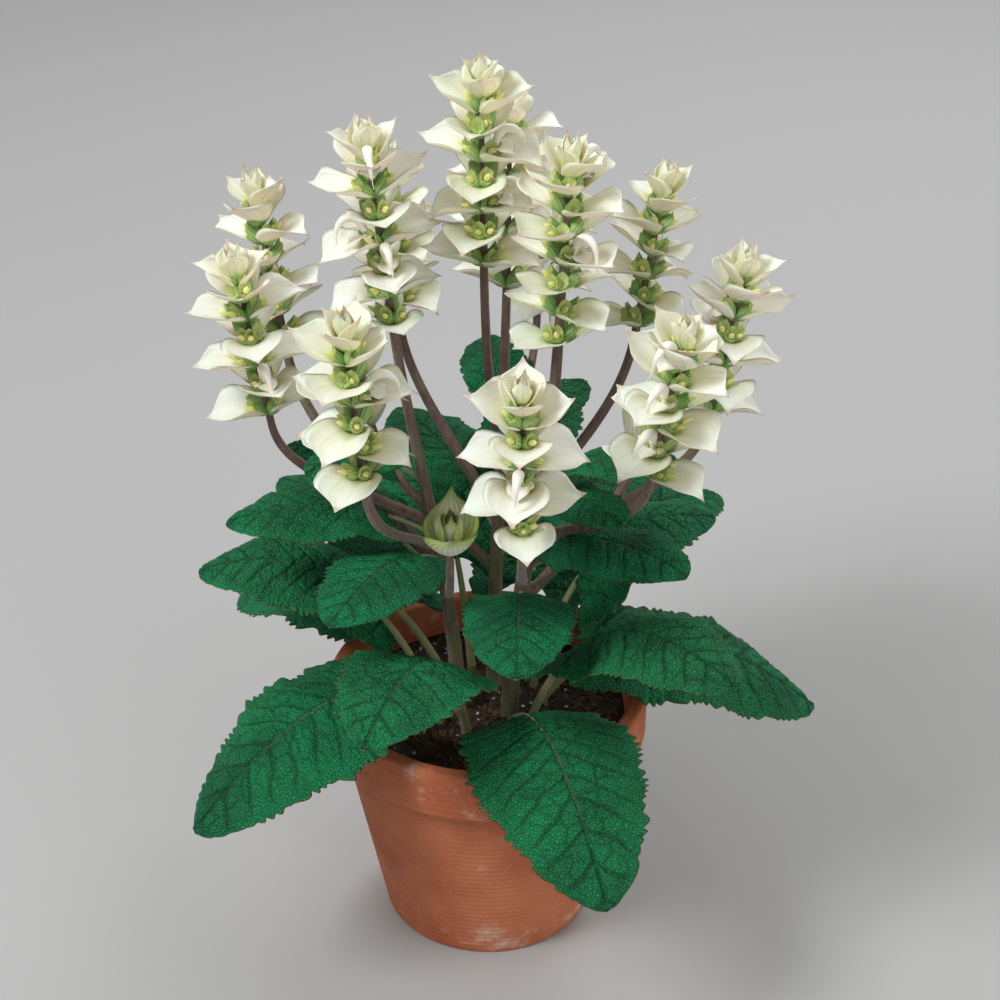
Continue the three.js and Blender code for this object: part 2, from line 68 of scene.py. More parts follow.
# The pot and its compost
POT_HIGH = Vector(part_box("pot")[1]) / MM
POT_HEIGHT = POT_HIGH.z
RIM_RADIUS = POT_HIGH.x
FOOT_RADIUS = 74
POT_WALL = 8
POT_FLOOR = 10
RIM_HEIGHT = 36
RIM_STEP = 8
DRAIN_RADIUS = 8
DRAIN_HOLES = 3
COMPOST_TOP = 163
REST_GAP = 0.3
LATHE_STEPS = 112

# The stems, in rings round the pot's axis
STEM_COUNT = 3
FIRST_STEM_AZIMUTH = 90
STEM_ROOT_RADIUS = 20
ROOT_DEPTH = 22
MAIN_SPIKE_RADIUS = 62
MAIN_SPIKE_BASE = 452
SIDE_SPIKE_RADIUS = 134
SIDE_SPIKE_BASE = 398
SIDE_SPREAD = 40
BRANCH_SHARES = [0.4, 0.52, 0.46]
SHOOT_SHARE = 0.34
CENTRE_SHARE = 0.58
LEAF_BELOW_BRANCH = 0.03
CENTRE_SPIKE_BASE = 488
SHOOT_RADIUS = 102
SHOOT_BASE = 346
MAIN_HALF_WIDTH = 5
BRANCH_HALF_WIDTH = 3.1
RACHIS_HALF_WIDTH = 2.3
RACHIS_TIP_HALF_WIDTH = 1.1
# How much wider than the rachis a main stem and a branch are where it stands on them
MAIN_EXTRA = 0.3
BRANCH_EXTRA = 0.1

# The spikes: each list runs from the youngest pair of bracts down to the oldest
BRACT_OPENING = [31, 45, 56, 61, 64, 66]
BRACT_BEND = [-20, -13, 0, 16, 26, 34]
BRACT_LENGTH = [24, 31, 37, 40, 40, 38]
SHOOT_OPENING = [50, 46]
SHOOT_BEND = [-94, -44]
SHOOT_WIDTH = [0.56, 0.76]
SHOOT_CUP = [1.66, 1.47]
SHOOT_SIZE = 1.35
PAIR_GAP = [5, 9, 13, 15, 16, 17, 17, 18]
FIRST_PAIR_HEIGHT = 7
MAIN_SPIKE_PAIRS = 9
SIDE_SPIKE_PAIRS = 8
FLOWERING_SPIKES = [1, 3, 5, 6, 8, 10, 12]
CALYX_LIFT = 20
# The shut pairs inside the youngest open one, each inside the one before: height above it, length, opening,
# bend and width
SHUT_PAIRS = [(1.8, 24, 43, -82, 0.47), (3.0, 21, 34, -64, 0.36), (4.0, 18, 22, -40, 0.27)]
SHUT_IN_SHOOT = [(1.0, 22, 43, -83, 0.44), (2.0, 19.5, 37, -71, 0.39), (3.0, 17, 28, -53, 0.31)]
SHUT_CUP = 1.62

# The leaves
BASAL_LEAVES = 10
BASAL_ROOT_RADIUS = 38
BASAL_START = 6
UPPER_LEAF_SHARE = 0.66
UPPER_LEAF_SIZE = 0.68
# Stem leaves that would meet a branch, turned away from it by degrees
LEAF_TURNS = {3: -7, 4: -17, 8: -12, 9: -4, 13: -5}
# Under the blade: how far in the thick part of the stalk ends, where the midrib ends, and how deep it lies at the
# three points of its curve
STALK_OVERLAP = 0.12
MIDRIB_END = 0.97
MIDRIB_DEPTHS = (0.8, 3.6, 2.6)

# The largest value of each bare outline, which it is divided by
BRACT_PEAK = 0.62
LEAF_PEAK = 0.518


# ---------------------------------------------------------------------------------------------------------------
# Node trees written as Python


def arithmetic(operation):
    """The two methods of an operator: for a wire on its left, and for one on its right."""
    return (
        lambda self, other: self.graph.maths(operation, self, other),
        lambda self, other: self.graph.maths(operation, other, self),
    )


class Wire:
    """A socket of a node tree. Arithmetic on it adds Math nodes, or Vector Math nodes where it holds a vector."""

    __add__, __radd__ = arithmetic("ADD")
    __sub__, __rsub__ = arithmetic("SUBTRACT")
    __mul__, __rmul__ = arithmetic("MULTIPLY")
    __truediv__, __rtruediv__ = arithmetic("DIVIDE")
    __pow__ = arithmetic("POWER")[0]

    def __init__(self, graph, socket):
        self.graph = graph
        self.socket = socket

    def __neg__(self):
        return self * -1


def holds_vector(term):
    return term.socket.type == "VECTOR" if isinstance(term, Wire) else isinstance(term, (tuple, Vector))


class Graph:
    """A node tree, with one method that adds any node."""

    def __init__(self, tree):
        self.tree = tree

    def node(self, kind, sockets=None, result=0, **settings):
        """Adds a node with its settings and the values or links of its sockets, and gives one of its results."""
        made = self.tree.nodes.new(kind)
        for name, value in settings.items():
            setattr(made, name, value)
        inputs = [socket for socket in made.inputs if socket.enabled]
        for name, value in (sockets or {}).items():
            socket = inputs[name] if isinstance(name, int) else next(s for s in inputs if s.name == name)
            if isinstance(value, Wire):
                self.tree.links.new(value.socket, socket)
            else:
                socket.default_value = value
        outputs = [socket for socket in made.outputs if socket.enabled]
        if isinstance(result, str):
            result = [socket.name for socket in outputs].index(result)
        return Wire(self, outputs[result])

    def maths(self, operation, *terms):
        """A Math node on numbers, or a Vector Math node where a term is a vector."""
        vectors = [holds_vector(term) for term in terms]
        if not any(vectors):
            return self.node("ShaderNodeMath", dict(enumerate(terms)), operation=operation)
        if operation == "MULTIPLY" and not all(vectors):
            vector, number = terms if vectors[0] else terms[::-1]
            return self.node("ShaderNodeVectorMath", {"Vector": vector, "Scale": number}, operation="SCALE")
        return self.node("ShaderNodeVectorMath", dict(enumerate(terms)), operation=operation)

    def ease(self, value, low, high):
        """0 where value is low, 1 where it is high, with a soft change between the two."""
        sockets = {"Value": value, "From Min": low, "From Max": high}
        return self.node("ShaderNodeMapRange", sockets, interpolation_type="SMOOTHSTEP")

    def split(self, vector):
        """The three numbers of a vector."""
        parts = self.node("ShaderNodeSeparateXYZ", {"Vector": vector}).socket.node
        return [Wire(self, socket) for socket in parts.outputs]

    def join(self, x, y, z):
        return self.node("ShaderNodeCombineXYZ", {"X": x, "Y": y, "Z": z})

    # For geometry
    def along(self, name, data_type="FLOAT_VECTOR"):
        """A direction or place that each point carries."""
        return self.node("GeometryNodeInputNamedAttribute", {"Name": name}, data_type=data_type)

    def sized(self, *names):
        """Sizes that each point carries: one, or a list where more are named."""
        sizes = [self.along(name, "FLOAT") for name in names]
        return sizes if len(sizes) > 1 else sizes[0]

    # For materials
    def carried(self, name, result="Fac"):
        """What a piece carries for its material, under that name."""
        return self.node("ShaderNodeAttribute", None, result, attribute_name=name)

    def mix(self, share, first, second):
        """A colour between two colours."""
        sockets = {"Factor": share, "A": first, "B": second}
        return self.node("ShaderNodeMix", sockets, data_type="RGBA", clamp_factor=True)

    def paint(self, share, first, second, *coats):
        """A colour between two, and coats over it, each with its share. Colours are as a screen shows them."""
        colour = self.mix(share, linear(first), linear(second))
        for share, coat in coats:
            colour = self.mix(share, colour, coat if isinstance(coat, Wire) else linear(coat))
        return colour

    def surface(self, colour, roughness, height, depth, strength=1.0):
        """What varies over a material. The relief's depth is in metres."""
        sockets = {"Height": height, "Distance": depth, "Strength": strength}
        return {"Base Color": colour, "Roughness": roughness, "Normal": self.node("ShaderNodeBump", sockets)}

    def place(self):
        return self.node("ShaderNodeTexCoord", None, "Object")

    def noise(self, where, scale, detail=3.0, roughness=0.55):
        sockets = {"Vector": where, "Scale": scale, "Detail": detail, "Roughness": roughness}
        return self.node("ShaderNodeTexNoise", sockets)

    def cells(self, where, scale, feature="F1"):
        return self.node("ShaderNodeTexVoronoi", {"Vector": where, "Scale": scale}, "Distance", feature=feature)


def linear(colour):
    """A colour as a screen shows it, from 0 to 255, as the linear colour that a shader takes."""
    return tuple((((c / 255) + 0.055) / 1.055) ** 2.4 for c in colour) + (1.0,)


def sine(wire):
    return wire.graph.maths("SINE", wire)


def cosine(wire):
    return wire.graph.maths("COSINE", wire)


def size_of(wire):
    return wire.graph.maths("ABSOLUTE", wire)


def at_least(wire, least):
    return wire.graph.maths("MAXIMUM", wire, least)


def cross(first, second):
    return first.graph.maths("CROSS_PRODUCT", first, second)


def unit(wire):
    return wire.graph.maths("NORMALIZE", wire)


SOCKET_KINDS = {
    bool: "NodeSocketBool",
    int: "NodeSocketInt",
    float: "NodeSocketFloat",
    bpy.types.Material: "NodeSocketMaterial",
}
KEPT_LAYERS = {"local", "tint", "youth", "furrow", "material_index", "sharp_face", "sharp_edge"}


def placed(name, data):
    """An object in the scene."""
    made = bpy.data.objects.new(name, data)
    bpy.context.scene.collection.objects.link(made)
    return made


def bare_points(name, places):
    """A mesh of loose points. Each place is a dict, and its numbers and vectors become what the point carries."""
    mesh = bpy.data.meshes.new(name)
    mesh.from_pydata([place["origin"] for place in places], [], [])
    for key, sample in places[0].items():
        if isinstance(sample, Vector):
            layer = mesh.attributes.new(key, "FLOAT_VECTOR", "POINT")
            layer.data.foreach_set("vector", [number for place in places for number in place[key]])
        else:
            layer = mesh.attributes.new(key, "FLOAT", "POINT")
            layer.data.foreach_set("value", [float(place[key]) for place in places])
    return mesh


def grow(name, start, shape, sizes):
    """Runs a Geometry Nodes tree on a mesh, and gives the result as one plain object. shape builds the tree."""
    tree = bpy.data.node_groups.new(name, "GeometryNodeTree")
    for way in ("INPUT", "OUTPUT"):
        tree.interface.new_socket("Geometry", in_out=way, socket_type="NodeSocketGeometry")
    names = {}
    for label, value in sizes.items():
        kind = next(kind for python, kind in SOCKET_KINDS.items() if isinstance(value, python))
        names[label] = tree.interface.new_socket(label, in_out="INPUT", socket_type=kind).identifier
    graph = Graph(tree)
    given = tree.nodes.new("NodeGroupInput")
    wires = {label: Wire(graph, given.outputs[label]) for label in sizes}
    result = shape(graph, Wire(graph, given.outputs["Geometry"]), wires)
    tree.links.new(result.socket, tree.nodes.new("NodeGroupOutput").inputs["Geometry"])

    source = placed(name + "_source", start)
    modifier = source.modifiers.new("grow", "NODES")
    modifier.node_group = tree
    for label, identifier in names.items():
        modifier[identifier] = sizes[label]
    now = bpy.context.evaluated_depsgraph_get()
    evaluated = source.evaluated_get(now)
    mesh = bpy.data.meshes.new_from_object(evaluated, preserve_all_data_layers=True, depsgraph=now)
    source.modifiers.remove(modifier)
    bpy.data.objects.remove(source)
    for layer in [layer.name for layer in mesh.attributes]:
        if layer not in KEPT_LAYERS and not mesh.attributes[layer].is_required and not layer.startswith("."):
            mesh.attributes.remove(mesh.attributes[layer])
    mesh.name = name
    return placed(name, mesh)


def stored(graph, geometry, name, value, data_type="FLOAT_VECTOR"):
    sockets = {"Geometry": geometry, "Name": name, "Value": value}
    return graph.node("GeometryNodeStoreNamedAttribute", sockets, data_type=data_type, domain="POINT")


def moved(graph, geometry, position):
    return graph.node("GeometryNodeSetPosition", {"Geometry": geometry, "Position": position})


def clad(graph, geometry, material):
    return graph.node("GeometryNodeSetMaterial", {"Geometry": geometry, "Material": material})


def copied(graph, points, pattern, **stance):
    """A copy of pattern on each point, as real mesh that still carries what the point carried."""
    copies = graph.node("GeometryNodeInstanceOnPoints", {"Points": points, "Instance": pattern, **stance})
    return graph.node("GeometryNodeRealizeInstances", {"Geometry": copies})


def random_vector(graph, low, high, seed):
    sockets = {"Min": low, "Max": high, "Seed": seed}
    return graph.node("FunctionNodeRandomValue", sockets, data_type="FLOAT_VECTOR")


def finished(graph, geometry, material, weld=1e-6, crease=3.2):
    """Welds what has met in a point, and gives the mesh its material and smooth shading, save past crease."""
    welded = graph.node("GeometryNodeMergeByDistance", {"Geometry": geometry, "Distance": weld})
    smooth = graph.node("GeometryNodeSetShadeSmooth", {"Geometry": welded})
    steep = graph.maths("GREATER_THAN", graph.node("GeometryNodeInputMeshEdgeAngle"), crease)
    sockets = {"Geometry": smooth, "Selection": steep, "Shade Smooth": False}
    return clad(graph, graph.node("GeometryNodeSetShadeSmooth", sockets, domain="EDGE"), material)


def thin_sheet(graph, columns, rows):
    """A flat closed leaf of two sides that meet at the edge. local is (across -1 to 1, along 0 to 1, side)."""
    sides = []
    for way in (1, -1):
        sockets = {"Size X": 2.0, "Size Y": 1.0, "Vertices X": columns, "Vertices Y": rows}
        grid = graph.node("GeometryNodeMeshGrid", sockets)
        x, y, _ = graph.split(graph.node("GeometryNodeInputPosition"))
        lens = (1 - x * x) * (1 - 4 * y * y)
        swollen = moved(graph, grid, graph.join(x, y + 0.5, way * at_least(lens, 0)))
        sides.append(swollen if way > 0 else graph.node("GeometryNodeFlipFaces", {"Mesh": swollen}))
    joined = graph.node("GeometryNodeJoinGeometry")
    for side in sides[::-1]:
        graph.tree.links.new(side.socket, joined.socket.node.inputs[0])
    closed = graph.node("GeometryNodeMergeByDistance", {"Geometry": joined, "Distance": 1e-4})
    x, y, z = graph.split(graph.node("GeometryNodeInputPosition"))
    side = graph.maths("SIGN", z) * size_of(z) ** 0.3
    return stored(graph, closed, "local", graph.join(x, y, side))


def closed_tube(graph, around, steps):
    """A closed tube. local is (x, y) on the unit ring, 0 at the middle of each end, and the share along it."""
    sockets = {"Vertices": around, "Side Segments": steps, "Radius": 1.0, "Depth": 1.0}
    tube = graph.node("GeometryNodeMeshCylinder", sockets, fill_type="TRIANGLE_FAN")
    x, y, z = graph.split(graph.node("GeometryNodeInputPosition"))
    return stored(graph, tube, "local", graph.join(x, y, z + 0.5))


# ---------------------------------------------------------------------------------------------------------------
# The shapes that repeat


def bract_shape(graph, points, given):
    """A broad scoop with a drawn-out tip. It leaves the rachis at its opening and bends in an arc."""
    blades = copied(graph, points, thin_sheet(graph, given["Columns"], given["Rows"]))
    s, share, side = graph.split(graph.along("local"))
    opening, turn, length, phase, curl = graph.sized("opening", "turn", "length", "phase", "curl")
    v = 0.008 + 0.992 * share
    now = opening + turn * v
    reach = length / turn
    out_y, out_z = -cosine(now), sine(now)
    drawn_out = 1 - 0.7 * graph.ease(v, 0.66, 0.92)
    outline = v**0.5 * at_least(1 - v**3, 0) / BRACT_PEAK * drawn_out
    half = length * graph.sized("width") * outline / 2
    fold = graph.sized("cup") * (1 - 0.45 * v)
    angle = fold * s
    wave = half * given["Ripple"] * size_of(s) ** 3 * sine(9 * v + phase + 1.7 * s)
    thickness = given["Thickness"] * side / 2
    scoop = half * (1 - cosine(angle)) / sine(fold)
    lift = scoop + wave + curl * length * v**5 + thickness * cosine(angle)
    x = half * sine(angle) / sine(fold) - thickness * sine(angle) + graph.sized("sway") * length * v * v
    y = graph.sized("root") + reach * (cosine(opening) - cosine(now)) + out_y * lift
    z = reach * (sine(now) - sine(opening)) + out_z * lift
    place = graph.along("origin") + graph.along("right") * x + graph.along("outward") * y + graph.along("up") * z
    return finished(graph, moved(graph, blades, place), given["Material"])


def pod_shape(graph, points, given):
    """A calyx or a bud: a round pod on an axis, with its radius at the foot, belly and mouth."""
    pods = copied(graph, points, closed_tube(graph, given["Around"], given["Steps"]))
    x, y, v = graph.split(graph.along("local"))
    ring = graph.maths("SQRT", x * x + y * y)
    spread = given["Foot"] * (1 - v) ** 2 + 2 * given["Belly"] * v * (1 - v) + given["Mouth"] * v * v
    radius = graph.sized("radius") * spread
    turn = graph.maths("ARCTAN2", y, x)
    teeth = given["Teeth"] * at_least(cosine(5 * turn), 0) * ring
    height = v + v**6 * (teeth + given["Lip"] * x - given["Hollow"] * (1 - ring))
    length = graph.sized("length")
    place = (
        graph.along("origin")
        + graph.along("axis") * (length * height)
        + graph.along("right") * (radius * y)
        + graph.along("above") * (radius * x - length * (given["Sag"] * v * v))
    )
    return finished(graph, moved(graph, pods, place), given["Material"], 1e-7, 1.1)


def stalk_shape(graph, points, given):
    """A stem, stalk or hood along a cubic curve in one plane, from round to square with grooved sides."""
    tubes = copied(graph, points, closed_tube(graph, given["Around"], given["Steps"]))
    x, y, t = graph.split(graph.along("local"))
    back = 1 - t
    p0, p1, p2, p3 = (graph.along(name) for name in ("origin", "leave", "arrive", "end"))
    centre = p0 * (back**3) + p1 * (3 * t * back * back) + p2 * (3 * t * t * back) + p3 * (t**3)
    tangent = (p1 - p0) * (back * back) + (p2 - p1) * (2 * t * back) + (p3 - p2) * (t * t)
    across = graph.along("across")
    other = unit(cross(tangent, across))
    thick, thin, bulge, flat = graph.sized("thick", "thin", "bulge", "flat")
    half = (thick + (thin - thick) * t) * (1 + bulge * 4 * t * back)
    power = given["Squareness"]
    square = (size_of(x) ** power + size_of(y) ** power + 1e-5) ** (-1 / power)
    facing = at_least(8 * x**4 - 8 * x * x + 1, 0)
    radius = half * square * (1 - given["Groove"] * facing)
    place = centre + across * (radius * x) + other * (radius * y * flat)
    return finished(graph, moved(graph, tubes, place), given["Material"], 1e-7, 1.1)


def leaf_shape(graph, points, given):
    """A toothed, wrinkled blade along a bending midrib, with a heart-shaped foot and sunk side veins."""
    blades = copied(graph, points, thin_sheet(graph, given["Columns"], given["Rows"]))
    s, v, side = graph.split(graph.along("local"))
    start, middle, end, across = (graph.along(name) for name in ("origin", "middle", "end", "across"))
    blade_start, width, phase, length = graph.sized("blade_start", "width", "phase", "length")
    edge = size_of(s)

    # The outline, with large and small round teeth that lean to the tip
    outline = (v + 0.06) ** 0.45 * at_least(1 - v, 0) ** 0.6 / LEAF_PEAK
    lean = v * given["Teeth"] + 0.9 * sine(phase + 7 * v + s) + 0.5 * sine(3 * phase + 31 * v - 2 * s)
    small = size_of(sine(math.pi * lean))
    large = size_of(sine(math.pi * (v * given["Lobes"]) + 0.4 * s + phase))
    notch = given["Tooth"] * (0.5 + 1.2 * large) * (small - 0.5) + 0.05 * large + 0.02
    x = s * (width * outline / 2) * (1 + notch * edge**5)

    # The midrib's curve
    t = blade_start + (1 - blade_start) * v
    back = 1 - t
    centre = start * (back * back) + middle * (2 * t * back) + end * (t * t)
    tangent = unit((middle - start) * back + (end - middle) * t)
    out = cross(across, tangent)

    # The relief: drooping and rippled edges, side veins, midrib and puckers
    droop = -graph.sized("droop") * s * s * 2.8 * (v + 0.1) * (1.1 - v)
    ripples = sine(4 * math.pi * v + phase + 1.5 * graph.maths("GREATER_THAN", s, 0))
    wave = graph.sized("ripple") * s * s * ripples * (1 - v)
    frill = given["Frill"] * edge**3 * sine(30 * v + 2 * phase + 3 * s) * (1 - v)
    where = graph.join(x, v * length, phase * 0.01)
    bent = graph.noise(where, 40.0, 1.0)
    vein = cosine(2 * math.pi * (v * given["Veins"] - edge * outline * 1.9 + 0.7 * bent))
    net = graph.ease(graph.cells(where, 1 / given["Net"], "DISTANCE_TO_EDGE"), 0.13, 0.0)
    rib = graph.maths("EXPONENT", -((x / given["Rib"]) ** 2))
    sunk = at_least(at_least(vein, 0) ** 10, 0.55 * net) * (1 - edge**6)
    puff = given["Pucker"] * (0.9 - 1.6 * sunk) * (1 - edge**4)
    grain = given["Grain"] * (0.5 - graph.cells(where, 1 / given["Pebble"])) * (1 - rib)
    lift = droop + wave + frill + puff - 1.3 * given["Pucker"] * rib + grain + given["Thickness"] * side / 2

    lobe = at_least(1 - 2.2 * v, 0) ** 2
    place = centre + across * x + out * lift - tangent * (given["Heart"] * length * s * s * lobe)
    # furrow marks the sunk veins and the midrib, where the leaf's material paints shade on the upper side
    marked = stored(graph, blades, "furrow", at_least(sunk, 0.8 * rib), "FLOAT")
    return finished(graph, moved(graph, marked, place), given["Material"])


def crumb_shape(graph, surface, given):
    """Loose crumbs, strewn over the upward faces of a surface inside a radius."""
    position, seed = graph.node("GeometryNodeInputPosition"), given["Seed"]
    x, y, _ = graph.split(position)
    facing = graph.split(graph.node("GeometryNodeInputNormal"))[2]
    inside = graph.maths("LESS_THAN", x * x + y * y, given["Radius"] * given["Radius"])
    upward = graph.maths("GREATER_THAN", facing, 0.6)
    sockets = {"Mesh": surface, "Selection": inside * upward, "Density": given["Density"], "Seed": seed}
    points = graph.node("GeometryNodeDistributePointsOnFaces", sockets)
    crumb = graph.node("GeometryNodeMeshIcoSphere", {"Radius": 1.0, "Subdivisions": given["Rounds"]})
    turn = random_vector(graph, (0, 0, 0), (6.28, 6.28, 6.28), seed + 1)
    size = random_vector(graph, (0.35, 0.35, 0.3), (1.0, 0.75, 0.55), seed + 2)
    tint = graph.node("FunctionNodeRandomValue", {"Seed": seed + 3}, data_type="FLOAT")
    marked = stored(graph, points, "tint", tint, "FLOAT")
    crumbs = copied(graph, marked, crumb, Rotation=turn, Scale=size * given["Size"])
    rough = graph.node("ShaderNodeTexNoise", {"Vector": position, "Scale": 260.0, "Detail": 2.0}, "Color")
    offset = (rough - (0.5, 0.5, 0.5)) * given["Size"]
    broken = graph.node("GeometryNodeSetPosition", {"Geometry": crumbs, "Offset": offset})
    return clad(graph, broken, given["Material"])


def hair_shape(graph, surface, given):
    """Short soft hairs that stand on a surface."""
    sockets = {"Mesh": surface, "Density": given["Density"], "Seed": given["Seed"]}
    scatter = graph.node("GeometryNodeDistributePointsOnFaces", sockets)
    rotation = Wire(graph, scatter.socket.node.outputs["Rotation"])
    sockets = {"Vertices": 3, "Radius Top": 0.0, "Radius Bottom": given["Radius"], "Depth": given["Length"]}
    hair = graph.node("GeometryNodeMeshCone", sockets, fill_type="NONE")
    tilt = random_vector(graph, (-0.5, -0.5, 0), (0.5, 0.5, 6.28), given["Seed"] + 1)
    turned = graph.node("FunctionNodeRotateRotation", {0: rotation, 1: tilt}, rotation_space="LOCAL")
    size = random_vector(graph, (1, 1, 0.5), (1, 1, 1.2), given["Seed"] + 2)
    return clad(graph, copied(graph, scatter, hair, Rotation=turned, Scale=size), given["Material"])


# ---------------------------------------------------------------------------------------------------------------
# How the plant grows: the same rules as in the part's source


def chance(seed):
    """A repeatable number from 0 to 1 for each seed."""
    wave = math.sin(seed * 12.9898) * 43758.5453
    return wave - math.floor(wave)


def vary(seed, spread):
    return (2 * chance(seed) - 1) * spread


def radial(azimuth, radius=1.0, height=0.0):
    turn = math.radians(azimuth)
    return Vector((radius * math.cos(turn), radius * math.sin(turn), height))


def right_of(azimuth):
    """The horizontal direction to the right of one who looks out along an azimuth."""
    return radial(azimuth - 90)


def leaning(azimuth, lean):
    return radial(azimuth, math.sin(math.radians(lean)), math.cos(math.radians(lean)))


def on_cubic(points, t):
    a, b, c, d = points
    return a * (1 - t) ** 3 + b * (3 * t * (1 - t) ** 2) + c * (3 * t * t * (1 - t)) + d * t**3


def main_axis(stem):
    azimuth = FIRST_STEM_AZIMUTH + (360 / STEM_COUNT) * stem
    aim = leaning(azimuth, 5 + vary(stem + 1.1, 2))
    top = radial(azimuth, MAIN_SPIKE_RADIUS + vary(stem + 1.4, 6), MAIN_SPIKE_BASE + vary(stem + 1.7, 14))
    root = radial(azimuth, STEM_ROOT_RADIUS, COMPOST_TOP - ROOT_DEPTH)
    rise = top.z - root.z
    curve = (root, root + UP * rise * 0.4, top - aim * rise * 0.3, top)
    return {"kind": "main", "azimuth": azimuth, "curve": curve, "top": top, "aim": aim}


def branch_from(axis, kind, share, top, lean):
    """A side branch from share of the way up a main axis to a spike's foot, in one upright plane."""
    start = on_cubic(axis["curve"], share)
    span = math.hypot(top.x - start.x, top.y - start.y)
    azimuth = math.degrees(math.atan2(top.y - start.y, top.x - start.x))
    aim = leaning(azimuth, lean)
    rise = top.z - start.z
    curve = (start, start + radial(azimuth, span * 0.5, rise * 0.4), top - aim * rise * 0.42, top)
    return {"kind": kind, "azimuth": azimuth, "curve": curve, "top": top, "aim": aim}


def branches_of(axis, stem):
    made = []
    for i, side in enumerate((-1, 0, 1)):
        own = 10 * stem + i
        azimuth = axis["azimuth"] + side * SIDE_SPREAD + vary(own + 2.1, 4)
        top = radial(azimuth, SIDE_SPIKE_RADIUS + vary(own + 2.4, 7), SIDE_SPIKE_BASE + vary(own + 2.7, 20))
        made.append(branch_from(axis, "side", BRANCH_SHARES[i], top, 9 + vary(own + 2.9, 4)))
    shoot = radial(axis["azimuth"] + 60, SHOOT_RADIUS, SHOOT_BASE + vary(stem + 3.1, 10))
    made.append(branch_from(axis, "shoot", SHOOT_SHARE, shoot, 14))
    if stem == 0:
        top = radial(axis["azimuth"] + 180, 4, CENTRE_SPIKE_BASE)
        made.append(branch_from(axis, "centre", CENTRE_SHARE, top, 3))
    return made


def by_age(sizes, age):
    return sizes[min(age, len(sizes) - 1)]


def stalk(curve, across, thick, thin, **other):
    """A stalk along a cubic curve. thick and thin are its half widths at the two ends."""
    made = {name: point * MM for name, point in zip(("origin", "leave", "arrive", "end"), curve)}
    made.update(across=across, thick=thick * MM, thin=thin * MM, flat=1.0, bulge=0.0, tint=0.5, youth=0.0)
    return {**made, **other}


def straight(start, end):
    return (start, start.lerp(end, 1 / 3), start.lerp(end, 2 / 3), end)


